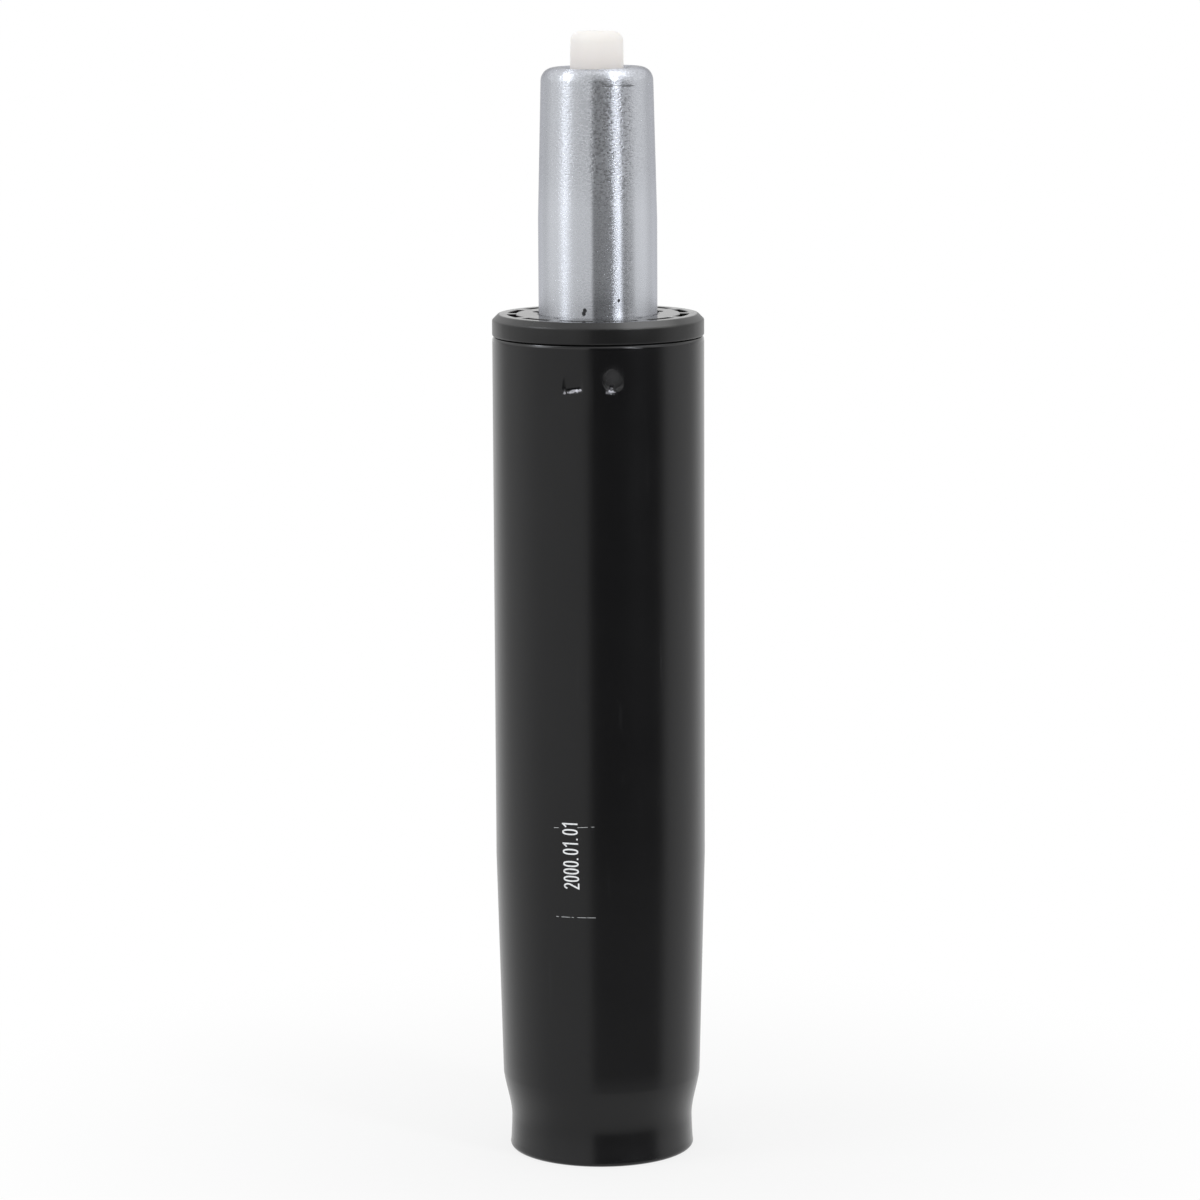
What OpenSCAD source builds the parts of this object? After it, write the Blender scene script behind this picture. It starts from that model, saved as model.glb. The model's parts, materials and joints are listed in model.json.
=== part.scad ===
// Chair gas lift cylinder: a stand tube with a tapered base cone, a guide bush in its top,
// and a lockable gas column that slides and swivels in the bush on a thrust bearing.
// Frame: +Z up along the axis, origin at the centre of the foot rim, column fully down, -Y is the front.

/* [Stand tube] */
// Outside diameter of the stand tube
tube_d = 50; // [46:0.5:60]
// Wall thickness of the stand tube
tube_wall = 2; // [1.5:0.1:2.5]
// Radius on the outer edge of the tube's top end
tube_edge_r = 1.2; // [0.3:0.1:1.5]
// Length of the cone that wedges into the chair's star base
base_cone_len = 53.4; // [40:0.2:60]
// Half angle of both mounting cones in degrees
cone_half_deg = 1.438; // [1:0.001:2]
// Height of the rolled neck below the cone
neck_len = 11; // [8:0.5:14]
// How far the neck draws the tube in, on the radius
neck_in = 1.95; // [1.4:0.05:2.5]
// Height of the skirt below the neck
skirt_len = 7.6; // [6:0.2:12]
// How far the skirt flares out again at the foot rim
skirt_flare = 0.35; // [0.1:0.05:0.8]
// Bevel on the outer edge of the foot rim
foot_bevel = 0.4; // [0.2:0.1:0.8]

/* [Stakes] */
// Width and height of each stake that is punched into the tube to hold the guide bush
stake_w = 5.6; // [4:0.2:7]
// Depth of a stake at its lower step
stake_depth = 0.9; // [0.5:0.1:1.2]
// Distance from the tube's top edge down to the middle of the stakes
stake_drop = 8.1; // [6.5:0.1:12]
// Angle between the square and the round stake of a pair
stake_spread_deg = 22.6; // [20:0.2:40]
// Angle from the front of the tube to the middle of a pair
stake_turn_deg = -2.6; // [-90:0.2:90]
// Number of stake pairs round the tube
stake_pairs = 2; // [1:1:4]
// Width of metal that a stake drags in round itself
stake_lap = 0.9; // [0.5:0.1:1.2]

/* [Guide bush] */
// Height of the collar that sits on the tube
collar_h = 5.1; // [4:0.1:10]
// Bevel on the collar's upper edge
collar_bevel = 1.4; // [0.5:0.1:2.5]
// Bevel on the collar's lower edge, which shows as a seam
collar_seam = 0.3; // [0.1:0.05:0.5]
// Width of the collar's rim outside the ring of pockets
collar_rim = 3.6; // [3:0.1:5]
// Number of pockets round the bush
pocket_count = 12; // [6:1:16]
// Radial width of the pockets in the collar's top
pocket_w = 2; // [1:0.1:2.6]
// Depth of the pockets in the collar's top
pocket_depth = 9; // [5:0.5:10]
// Width of the bridge between two pockets
pocket_bridge = 2.6; // [1.5:0.1:4]
// Depth of the pockets in the sleeve's lower end
core_depth = 44; // [10:1:48]
// Wall on both sides of the pockets in the sleeve's lower end
core_wall = 2.4; // [1.8:0.1:2.8]
// Length of the sleeve inside the tube
sleeve_len = 70; // [64:1:90]
// Length of the bearing land at each end of the bore
land_len = 22; // [12:1:28]
// How far the bore is relieved between its lands
bore_relief = 0.4; // [0.2:0.1:0.8]
// Bevel at both ends of the bore
bore_bevel = 0.5; // [0.2:0.1:1]
// Number of grease grooves along the bore
groove_count = 5; // [3:1:8]
// Radius of each grease groove
groove_r = 2; // [0.6:0.1:2.2]

/* [Gas column] */
// Outside diameter of the column
column_d = 28; // [27:0.5:30]
// Wall thickness of the column
column_wall = 1.5; // [1.2:0.1:2]
// Height of the column above the collar when it is fully down
column_show = 57.5; // [45:0.5:80]
// Length of the cone that wedges into the seat plate
seat_cone_len = 35; // [25:0.5:42]
// Inside radius of the edge that is rolled over at the column's top
column_top_in_r = 1.5; // [0.8:0.1:2]
// Inside radius of the edge that is rolled over at the column's lower end
column_foot_in_r = 1; // [0.5:0.1:1.5]
// Width of the lip that is rolled in at the column's lower end
column_lip_w = 4; // [2.5:0.1:5]
// How far the column rises
stroke = 100; // [60:5:140]
// Free height above the piston rod when the column is down and the valve is open
gas_room = 27.6; // [10:0.1:60]

/* [Release button] */
// Diameter of the button
button_d = 12.5; // [10:0.1:13]
// Height of the button above the column
button_h = 8.5; // [6:0.5:12]
// Radius on the button's top edge
button_edge_r = 2.4; // [0.5:0.1:3]
// How far the button travels
button_travel = 5; // [3:0.5:5.5]
// Width of the flange that keeps the button in the column
button_flange_w = 2.2; // [1.5:0.1:2.6]
// Thickness of that flange
button_flange_t = 2; // [1.5:0.1:3]
// Clearance between the button and the hole in the column's top
button_gap = 0.35; // [0.2:0.05:0.5]

/* [Release valve] */
// Diameter of the valve pin
pin_d = 4; // [3:0.1:5]
// Diameter of the pin's waist, which lets the gas past
pin_waist_d = 2.4; // [1.6:0.1:2.8]
// Diameter of the pin's head
pin_head_d = 9; // [7:0.1:12]
// Thickness of the pin's head
pin_head_t = 3; // [2:0.1:5]
// How deep the pin sits in the button
pin_grip = 4; // [2:0.1:6]
// Length of the valve body
valve_len = 32; // [26:0.5:40]
// Length of the spigot that enters the inner tube
valve_spigot_len = 8; // [6:0.5:10]
// Length of the waist that opens to the bypass
valve_waist_len = 3; // [2.6:0.1:5]
// Diameter of the ports that cross the waist
port_d = 2; // [1:0.1:2.4]
// Number of those ports
port_count = 4; // [2:1:6]
// Cord diameter of the seals round the valve body
valve_cord_d = 2; // [1.5:0.1:2.4]
// Cord diameter of the seal round the pin
pin_cord_d = 1.6; // [1.2:0.1:2]
// Distance of each valve seal from the end of its part of the body
valve_seal_inset = 4; // [3:0.1:5]

/* [Gas cylinder] */
// Clearance between the column and the inner tube, through which the gas passes
bypass_gap = 1.5; // [1:0.1:2]
// Wall thickness of the inner tube
inner_wall = 1; // [0.8:0.1:1.5]
// Thickness of the seal retainer on the column's lip
retainer_t = 2; // [1.5:0.1:3]
// Height of the rod seal
rod_seal_h = 6; // [4:0.5:8]
// Height of the rod guide's flange
guide_h = 12; // [8:0.5:16]
// Height of the rod guide's spigot inside the inner tube
guide_spigot_h = 6; // [4:0.5:8]
// Number of gas slots across the rod guide
guide_slots = 4; // [2:1:6]
// Width and depth of each gas slot
guide_slot_w = 2; // [1:0.1:3]

/* [Piston and rod] */
// Diameter of the piston rod
rod_d = 10; // [9:0.1:11]
// Diameter of the rod's lower shank, below its shoulder
shank_d = 8; // [7:0.1:8.6]
// Diameter of the rod's upper stem, which carries the piston
stem_d = 7; // [5:0.1:8]
// Diameter of the head that is riveted over on the stem
rivet_d = 9.6; // [9:0.1:12]
// Height of that head
rivet_h = 2; // [1.5:0.1:3]
// Length of the piston
piston_len = 15; // [12:0.5:20]
// Width of the guide band on the piston
band_w = 4; // [3:0.5:5]
// Thickness of the guide band
band_t = 1.2; // [0.8:0.1:2]
// Cord diameter of the piston seal
piston_cord_d = 2.4; // [2:0.1:3]
// Distance of the band and the seal from the piston's ends
piston_inset = 2; // [1.5:0.1:3]
// Diameter of the washer under the riveted head
piston_washer_d = 16; // [12:0.5:18]
// Thickness of that washer
piston_washer_t = 1.5; // [1:0.1:2]
// Length of the rod below the retaining clip
tail_len = 2.6; // [1.5:0.1:3.5]
// Bevel on the ends of the rod
rod_bevel = 0.6; // [0.3:0.1:1]

/* [Thrust bearing] */
// Diameter of the bearing balls
ball_d = 4; // [3:0.1:4.6]
// Number of balls
ball_count = 12; // [6:1:12]
// Diameter of the ring on which the balls run
ball_ring_d = 19; // [18:0.5:22]
// Thickness of each race
race_t = 1.5; // [1:0.1:2.5]
// Width of each race outside its ball track
race_margin = 1.5; // [1:0.1:2]
// Depth of the ball track in each race
track_depth = 0.4; // [0.2:0.05:0.6]
// Thickness of the ball cage
cage_t = 2; // [1.2:0.1:2.6]
// Radial width of the cage's ring
cage_w = 7; // [5.6:0.1:7.4]

/* [Bottom plate and clip] */
// Thickness of the bottom plate
plate_t = 3.5; // [2.5:0.1:4.5]
// Height of the plate's underside above the lower end of the neck
plate_rise = 3.3; // [2:0.1:4.5]
// Depth of the recess that centres the lower race
race_recess = 0.5; // [0.3:0.1:0.8]
// Diameter of the washer under the plate
clip_washer_d = 20; // [14:0.5:24]
// Thickness of that washer
clip_washer_t = 1.5; // [1:0.1:2]
// Outside diameter of the retaining clip
clip_d = 16; // [13:0.5:20]
// Thickness of the clip
clip_t = 1.2; // [0.8:0.1:1.6]
// Depth of the clip's groove in the shank
clip_groove = 0.8; // [0.5:0.1:1.2]
// Outside diameter of the rubber bump stop
bump_d = 21; // [19:0.5:24]
// Height of the bump stop
bump_h = 15; // [8:0.5:20]
// How far the bump stop is drawn in at its waist
bump_waist = 1.6; // [0.5:0.1:2]

/* [Fits] */
// Radial clearance of parts that slide or turn in each other
run_gap = 0.05; // [0.02:0.01:0.1]
// Clearance of parts that are fixed in each other
seat_gap = 0.05; // [0.02:0.01:0.1]
// Clearance at an end stop
stop_gap = 0.3; // [0.1:0.1:0.5]
// Room left between the piston and the rod guide at full height
end_gap = 1; // [0.5:0.1:3]
// Clearance of the shank in the plate and in the lower race
shank_gap = 0.4; // [0.2:0.1:0.6]

/* [Hidden] */
$fn = 96;
arc_steps = 8;
neck_steps = 16;
cut_over = 1;

// Radii of the stand tube
tube_r = tube_d / 2;
tube_in_r = tube_r - tube_wall;
cone_slope = tan(cone_half_deg);
cone_foot_r = tube_r - base_cone_len * cone_slope;
neck_r = cone_foot_r - neck_in;
foot_r = neck_r + skirt_flare;

// Radii of the column and what it holds
column_r = column_d / 2;
column_in_r = column_r - column_wall;
column_lip_r = column_in_r - column_lip_w;
inner_out_r = column_in_r - bypass_gap;
inner_r = inner_out_r - inner_wall;
button_r = button_d / 2;
button_hole_r = button_r + button_gap;
pin_r = pin_d / 2;
pin_bore_r = pin_r + run_gap;
rod_r = rod_d / 2;
rod_bore_r = rod_r + run_gap;
shank_r = shank_d / 2;
stem_r = stem_d / 2;

// Heights from the foot rim up to the lower end of the column
z_neck_top = skirt_len + neck_len;
z_cone_top = z_neck_top + base_cone_len;
z_plate = skirt_len + plate_rise;
z_plate_top = z_plate + plate_t;
z_lower_race = z_plate_top - race_recess;
z_lower_track = z_lower_race + race_t;
ball_r = ball_d / 2;
ball_ring_r = ball_ring_d / 2;
track_r = ball_r + run_gap;
z_balls = z_lower_track + track_r - track_depth;
z_upper_race = z_balls + track_r - track_depth;
z_shoulder = z_upper_race + race_t;
z_bump_top = z_shoulder + bump_h;
z_column = z_bump_top + stop_gap;

// Heights below the bottom plate
z_clip_washer = z_plate - run_gap - clip_washer_t;
z_clip = z_clip_washer - clip_t;
z_tail = z_clip - tail_len;
clip_seat_r = shank_r - clip_groove;

// Heights inside the column when it is down
z_retainer = z_column + column_wall;
z_rod_seal = z_retainer + retainer_t;
z_guide = z_rod_seal + rod_seal_h;
z_guide_seat = z_guide + guide_h;
z_guide_top = z_guide_seat + guide_spigot_h;
z_piston = z_guide_top + stroke + end_gap;
z_piston_top = z_piston + piston_len;
z_rivet = z_piston_top + piston_washer_t;
z_rod_top = z_rivet + rivet_h;
z_pin_head = z_rod_top + gas_room + button_travel;
z_valve = z_pin_head + pin_head_t + seat_gap;
z_valve_seat = z_valve + valve_spigot_len;
z_valve_land = z_valve_seat + valve_waist_len;
z_valve_top = z_valve + valve_len;
z_flange = z_valve_top + button_travel + stop_gap;
z_flange_top = z_flange + button_flange_t;
z_column_top = z_flange_top + seat_gap + column_wall;
z_seat_cone = z_column_top - seat_cone_len;
z_button_top = z_column_top + button_h;

// Heights of the collar and the tube's top, which the column's show sets
z_collar_top = z_column_top - column_show;
z_tube_top = z_collar_top - collar_h;
z_sleeve = z_tube_top - sleeve_len;
z_stake = z_tube_top - stake_drop;

// Guide bush
bore_r = column_r + run_gap;
sleeve_r = tube_in_r - seat_gap;
pocket_out_r = tube_r - collar_rim;
stake_tilt = atan(stake_depth / stake_w);
stake_groove_r = tube_in_r - stake_depth - stake_lap * tan(stake_tilt) - stop_gap;
stake_groove_h = stake_w / 2 + stake_lap + tube_wall * sin(stake_tilt) + stop_gap;

// Seals on the valve's land, on its spigot and round its pin: middle heights and radii
z_land_seal = z_valve_land + valve_seal_inset;
land_seal_r = column_bore(z_land_seal) - 2 * seat_gap - valve_cord_d / 2;
z_spigot_seal = z_valve + valve_seal_inset;
spigot_seal_r = inner_r - seat_gap - valve_cord_d / 2;
z_pin_seal = z_valve_top - valve_seal_inset;
pin_seal_r = pin_bore_r + pin_cord_d / 2;

// Points of an arc round a centre, from one angle to another
function arc(centre, r, from, to) = [
  for (i = [0:arc_steps])
    let (a = from + (to - from) * i / arc_steps)
    centre + r * [cos(a), sin(a)]
];

// Outside radius of the neck at a height: half a cosine wave between the skirt and the cone
function neck_radius(z) =
  let (t = min(max((z - skirt_len) / neck_len, 0), 1))
  neck_r + neck_in * (1 - cos(180 * t)) / 2;

// The neck's heights from bottom to top, both ends included
function neck_heights() = [for (i = [0:neck_steps]) skirt_len + neck_len * i / neck_steps];

// A list in reverse order
function turned(list) = [for (i = [len(list) - 1:-1:0]) list[i]];

// Inside radius of the column at a height, straight and then tapered
function column_bore(z) = column_in_r - max(z - z_seat_cone, 0) * cone_slope;

// A ring of rectangular section
module ring(r_in, r_out, z, h) {
  difference() {
    translate([0, 0, z])
      cylinder(r = r_out, h = h);
    translate([0, 0, z - cut_over])
      cylinder(r = r_in, h = h + 2 * cut_over);
  }
}

// A ring of round section
module cord_ring(r_mid, cord_d, z) {
  rotate_extrude()
    translate([r_mid, z])
      circle(d = cord_d, $fn = 32);
}

// Places its child at equal angles round the axis, starting from one angle
module around(count, start = 0) {
  for (i = [0:count - 1])
    rotate([0, 0, start + 360 * i / count])
      children();
}

// The flat ended punch of one stake, leaning so that it bites deepest at its lower edge
module punch(square_end, width, push, reach) {
  translate([tube_r - stake_depth / 2, 0, z_stake])
    rotate([0, 90 + stake_tilt, 0])
      translate([0, 0, -push])
        if (square_end)
          translate([-width / 2, -width / 2, 0])
            cube([width, width, reach]);
        else
          cylinder(d = width, h = reach);
}

// Every stake of every pair, a square one on the left and a round one on the right
module stakes(width, push, reach) {
  around(stake_pairs, stake_turn_deg - 90) {
    rotate([0, 0, -stake_spread_deg / 2])
      punch(true, width, push, reach);
    rotate([0, 0, stake_spread_deg / 2])
      punch(false, width, push, reach);
  }
}

// A ring of pockets with straight bridges between them
module pocket_ring(r_in, r_out, z, h) {
  difference() {
    ring(r_in, r_out, z, h);
    around(pocket_count)
      translate([r_in - cut_over, -pocket_bridge / 2, z - cut_over])
        cube([r_out - r_in + 2 * cut_over, pocket_bridge, h + 2 * cut_over]);
  }
}

// Black stand tube: straight shank, base cone, rolled neck and flared skirt
module outer_tube() {
  outside = concat(
    [[foot_r - tube_wall, 0], [foot_r - foot_bevel, 0], [foot_r, foot_bevel]],
    [for (z = neck_heights()) [neck_radius(z), z]],
    [[tube_r, z_cone_top]],
    arc([tube_r - tube_edge_r, z_tube_top - tube_edge_r], tube_edge_r, 0, 90)
  );
  inside = concat(
    [[tube_in_r, z_tube_top], [tube_in_r, z_cone_top]],
    [for (z = turned(neck_heights())) [neck_radius(z) - tube_wall, z]]
  );
  color("#1b1b1d")
    difference() {
      union() {
        rotate_extrude()
          polygon(concat(outside, inside));
        intersection() {
          stakes(stake_w + 2 * stake_lap, tube_wall, 2 * tube_wall);
          translate([0, 0, z_stake - stake_groove_h])
            cylinder(r = tube_r - tube_wall / 2, h = 2 * stake_groove_h);
        }
      }
      stakes(stake_w, 0, 2 * tube_wall);
    }
}

// Moulded guide bush: collar, sleeve with two bearing lands, pockets and grease grooves
module guide_bush() {
  section = [
    [bore_r + bore_bevel, z_sleeve],
    [sleeve_r, z_sleeve],
    [sleeve_r, z_stake - stake_groove_h],
    [stake_groove_r, z_stake - stake_groove_h],
    [stake_groove_r, z_stake + stake_groove_h],
    [sleeve_r, z_stake + stake_groove_h],
    [sleeve_r, z_tube_top],
    [tube_r - collar_seam, z_tube_top],
    [tube_r, z_tube_top + collar_seam],
    [tube_r, z_collar_top - collar_bevel],
    [tube_r - collar_bevel, z_collar_top],
    [bore_r + bore_bevel, z_collar_top],
    [bore_r, z_collar_top - bore_bevel],
    [bore_r, z_collar_top - land_len],
    [bore_r + bore_relief, z_collar_top - land_len],
    [bore_r + bore_relief, z_sleeve + land_len],
    [bore_r, z_sleeve + land_len],
    [bore_r, z_sleeve + bore_bevel]
  ];
  color("#2a2a2c")
    difference() {
      rotate_extrude()
        polygon(section);
      pocket_ring(pocket_out_r - pocket_w, pocket_out_r, z_collar_top - pocket_depth,
        pocket_depth + cut_over);
      pocket_ring(bore_r + groove_r + core_wall, sleeve_r - core_wall, z_sleeve - cut_over,
        core_depth + cut_over);
      around(groove_count, 90)
        translate([bore_r, 0, z_sleeve - cut_over])
          cylinder(r = groove_r, h = sleeve_len + collar_h + 2 * cut_over);
    }
}

// Steel plate that is held in the neck and carries the thrust bearing
module bottom_plate() {
  plate_heights = [for (i = [0:arc_steps]) z_plate + plate_t * i / arc_steps];
  race_seat_r = ball_ring_r + ball_r + race_margin + seat_gap;
  section = concat(
    [[shank_r + shank_gap, z_plate]],
    [for (z = plate_heights) [neck_radius(z) - tube_wall - seat_gap, z]],
    [[race_seat_r, z_plate_top], [race_seat_r, z_lower_race], [shank_r + shank_gap, z_lower_race]]
  );
  color("#9a9c9e")
    rotate_extrude()
      polygon(section);
}

// One race of the thrust bearing with its ball track
module race(bore, z) {
  difference() {
    ring(bore, ball_ring_r + ball_r + race_margin, z, race_t);
    cord_ring(ball_ring_r, 2 * track_r, z_balls);
  }
}

module lower_race() {
  color("#b4b6b8")
    race(shank_r + shank_gap, z_lower_race);
}

module upper_race() {
  color("#b4b6b8")
    race(shank_r + seat_gap, z_upper_race);
}

// Flat ring with one round pocket for each ball
module ball_cage() {
  color("#c8b26a")
    difference() {
      ring(ball_ring_r - cage_w / 2, ball_ring_r + cage_w / 2, z_balls - cage_t / 2, cage_t);
      around(ball_count)
        translate([ball_ring_r, 0, z_balls - cage_t])
          cylinder(r = track_r, h = 2 * cage_t);
    }
}

module bearing_balls() {
  color("#d4d6d8")
    around(ball_count)
      translate([ball_ring_r, 0, z_balls])
        sphere(d = ball_d);
}

// Ground rod: clip groove and shank below its shoulder, stem and riveted head above
module piston_rod() {
  section = [
    [0, z_tail],
    [shank_r - rod_bevel, z_tail],
    [shank_r, z_tail + rod_bevel],
    [shank_r, z_clip - seat_gap],
    [clip_seat_r, z_clip - seat_gap],
    [clip_seat_r, z_clip_washer + seat_gap],
    [shank_r, z_clip_washer + seat_gap],
    [shank_r, z_shoulder],
    [rod_r, z_shoulder],
    [rod_r, z_piston],
    [stem_r, z_piston],
    [stem_r, z_rivet],
    [rivet_d / 2, z_rivet],
    [rivet_d / 2, z_rod_top - rod_bevel],
    [rivet_d / 2 - rod_bevel, z_rod_top],
    [0, z_rod_top]
  ];
  color("#c6c8ca")
    rotate_extrude()
      polygon(section);
}

// Piston with a square groove for its guide band and one for its seal
module piston() {
  z_band = z_piston + piston_inset;
  z_seal = z_piston_top - piston_inset - piston_cord_d;
  color("#a8aaac")
    difference() {
      ring(stem_r + seat_gap, inner_r - 2 * run_gap, z_piston, piston_len);
      ring(inner_r - run_gap - band_t - seat_gap, inner_r + cut_over, z_band - seat_gap,
        band_w + 2 * seat_gap);
      ring(inner_r - run_gap - piston_cord_d - seat_gap, inner_r + cut_over, z_seal - seat_gap,
        piston_cord_d + 2 * seat_gap);
    }
}

module piston_band() {
  color("#e6e2d8")
    ring(inner_r - run_gap - band_t, inner_r - run_gap, z_piston + piston_inset, band_w);
}

module piston_seal() {
  z_mid = z_piston_top - piston_inset - piston_cord_d / 2;
  color("#202022")
    cord_ring(inner_r - run_gap - piston_cord_d / 2, piston_cord_d, z_mid);
}

module piston_washer() {
  color("#b4b6b8")
    ring(stem_r + seat_gap, piston_washer_d / 2, z_piston_top, piston_washer_t);
}

// Rubber stop round the rod, drawn in at its waist by half a sine wave
module bump_stop() {
  side = [
    for (i = [0:2 * arc_steps])
      let (t = i / (2 * arc_steps))
      [bump_d / 2 - bump_waist * sin(180 * t), z_shoulder + bump_h * t]
  ];
  color("#262628")
    rotate_extrude()
      polygon(concat([[rod_bore_r, z_shoulder]], side, [[rod_bore_r, z_bump_top]]));
}

module clip_washer() {
  color("#b4b6b8")
    ring(shank_r + seat_gap, clip_washer_d / 2, z_clip_washer, clip_washer_t);
}

// Horseshoe clip that is pushed into the shank's groove from one side
module retaining_clip() {
  slot_r = clip_seat_r + seat_gap;
  color("#8c8e90")
    difference() {
      ring(slot_r, clip_d / 2, z_clip, clip_t);
      translate([0, -slot_r, z_clip - cut_over])
        cube([clip_d, 2 * slot_r, clip_t + 2 * cut_over]);
    }
}

// Column: rolled foot, straight shank, seat cone and rolled top with the button's hole
module pressure_tube() {
  foot_out_r = column_foot_in_r + column_wall;
  top_out_r = column_top_in_r + column_wall;
  z_top_arc = z_column_top - top_out_r;
  top_arc_r = column_bore(z_top_arc) - column_top_in_r;
  foot_arc = [column_r - foot_out_r, z_column + foot_out_r];
  section = concat(
    [[column_lip_r, z_column]],
    arc(foot_arc, foot_out_r, -90, 0),
    [[column_r, z_seat_cone]],
    arc([top_arc_r, z_top_arc], top_out_r, 0, 90),
    [[button_hole_r, z_column_top], [button_hole_r, z_column_top - column_wall]],
    arc([top_arc_r, z_top_arc], column_top_in_r, 90, 0),
    [[column_in_r, z_seat_cone]],
    arc(foot_arc, column_foot_in_r, 0, -90),
    [[column_lip_r, z_retainer]]
  );
  color("#b9bbbe")
    rotate_extrude()
      polygon(section);
}

module inner_tube() {
  color("#b0b2b4")
    ring(inner_r, inner_out_r, z_guide_seat, z_valve_seat - z_guide_seat);
}

// Washer on the column's lip, with its lower edge rounded off to clear the rolled corner
module seal_retainer() {
  edge = column_in_r - seat_gap;
  section = [
    [rod_bore_r + seat_gap, z_retainer],
    [edge - column_foot_in_r, z_retainer],
    [edge, z_retainer + column_foot_in_r],
    [edge, z_rod_seal],
    [rod_bore_r + seat_gap, z_rod_seal]
  ];
  color("#b4b6b8")
    rotate_extrude()
      polygon(section);
}

// Lip seal: a rubber ring with a pressure groove in its upper face
module rod_seal() {
  edge = column_in_r - seat_gap;
  groove_mid = (rod_bore_r + edge) / 2;
  groove_w = (edge - rod_bore_r) / 3;
  section = [
    [rod_bore_r, z_rod_seal],
    [edge, z_rod_seal],
    [edge, z_guide],
    [groove_mid + groove_w / 2, z_guide],
    [groove_mid, z_guide - rod_seal_h / 2],
    [groove_mid - groove_w / 2, z_guide],
    [rod_bore_r, z_guide]
  ];
  color("#202022")
    rotate_extrude()
      polygon(section);
}

// Rod guide: flange in the column, spigot in the inner tube, and slots that lead the gas across
module rod_guide() {
  color("#3a3a3e")
    difference() {
      union() {
        ring(rod_bore_r, column_in_r - seat_gap, z_guide, guide_h);
        ring(rod_bore_r, inner_r - seat_gap, z_guide_seat, guide_spigot_h);
      }
      around(guide_slots)
        translate([inner_r - guide_slot_w, -guide_slot_w / 2, z_guide_seat - guide_slot_w])
          cube([column_in_r, guide_slot_w, guide_slot_w + guide_spigot_h + cut_over]);
    }
}

// Square groove for a ring of round section
module cord_groove(r_mid, cord_d, z) {
  reach = cord_d / 2 + seat_gap;
  ring(r_mid - reach, r_mid + 2 * reach, z - reach, 2 * reach);
}

// Valve body: spigot in the inner tube, waist with cross ports, and a land that wedges in the column's cone
module valve_body() {
  section = [
    [pin_bore_r, z_valve],
    [inner_r - seat_gap, z_valve],
    [inner_r - seat_gap, z_valve_seat],
    [inner_out_r, z_valve_seat],
    [inner_out_r, z_valve_land],
    [column_bore(z_valve_land) - seat_gap, z_valve_land],
    if (z_seat_cone > z_valve_land) [column_in_r - seat_gap, z_seat_cone],
    [column_bore(z_valve_top) - seat_gap, z_valve_top],
    [pin_bore_r, z_valve_top]
  ];
  color("#b58d3c")
    difference() {
      rotate_extrude()
        polygon(section);
      cord_groove(land_seal_r, valve_cord_d, z_land_seal);
      cord_groove(spigot_seal_r, valve_cord_d, z_spigot_seal);
      translate([0, 0, z_pin_seal - pin_cord_d / 2 - seat_gap])
        cylinder(r = pin_seal_r + pin_cord_d / 2 + seat_gap, h = pin_cord_d + 2 * seat_gap);
      around(port_count, 45)
        translate([0, 0, z_valve_seat + valve_waist_len / 2])
          rotate([0, 90, 0])
            cylinder(d = port_d, h = inner_out_r + cut_over);
    }
}

module valve_outer_seal() {
  color("#202022")
    cord_ring(land_seal_r, valve_cord_d, z_land_seal);
}

module valve_inner_seal() {
  color("#202022")
    cord_ring(spigot_seal_r, valve_cord_d, z_spigot_seal);
}

module valve_pin_seal() {
  color("#202022")
    cord_ring(pin_seal_r, pin_cord_d, z_pin_seal);
}

// White button with a flange under the column's rolled top and a socket for the pin
module release_button() {
  z_socket = z_flange + pin_grip + seat_gap;
  section = concat(
    [
      [pin_r + seat_gap, z_flange],
      [button_r + button_flange_w, z_flange],
      [button_r + button_flange_w, z_flange_top],
      [button_r, z_flange_top]
    ],
    arc([button_r - button_edge_r, z_button_top - button_edge_r], button_edge_r, 0, 90),
    [[0, z_button_top], [0, z_socket], [pin_r + seat_gap, z_socket]]
  );
  color("#f0eeea")
    rotate_extrude()
      polygon(section);
}

// Valve pin: head that closes the spigot, waist that lets the gas past, and a plain stem
module valve_pin() {
  section = [
    [0, z_pin_head],
    [pin_head_d / 2, z_pin_head],
    [pin_head_d / 2, z_pin_head + pin_head_t],
    [pin_waist_d / 2, z_pin_head + pin_head_t],
    [pin_waist_d / 2, z_valve_land],
    [pin_r, z_valve_land + pin_r - pin_waist_d / 2],
    [pin_r, z_flange + pin_grip],
    [0, z_flange + pin_grip]
  ];
  color("#c6c8ca")
    rotate_extrude()
      polygon(section);
}

outer_tube();
guide_bush();
bottom_plate();
lower_race();
piston_rod();
piston();
piston_band();
piston_seal();
piston_washer();
upper_race();
bump_stop();
clip_washer();
retaining_clip();
ball_cage();
bearing_balls();
pressure_tube();
inner_tube();
seal_retainer();
rod_seal();
rod_guide();
valve_body();
valve_outer_seal();
valve_inner_seal();
valve_pin_seal();
release_button();
valve_pin();
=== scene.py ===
import json
import math

import bpy
import numpy as np
from mathutils import Matrix, Vector


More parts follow.
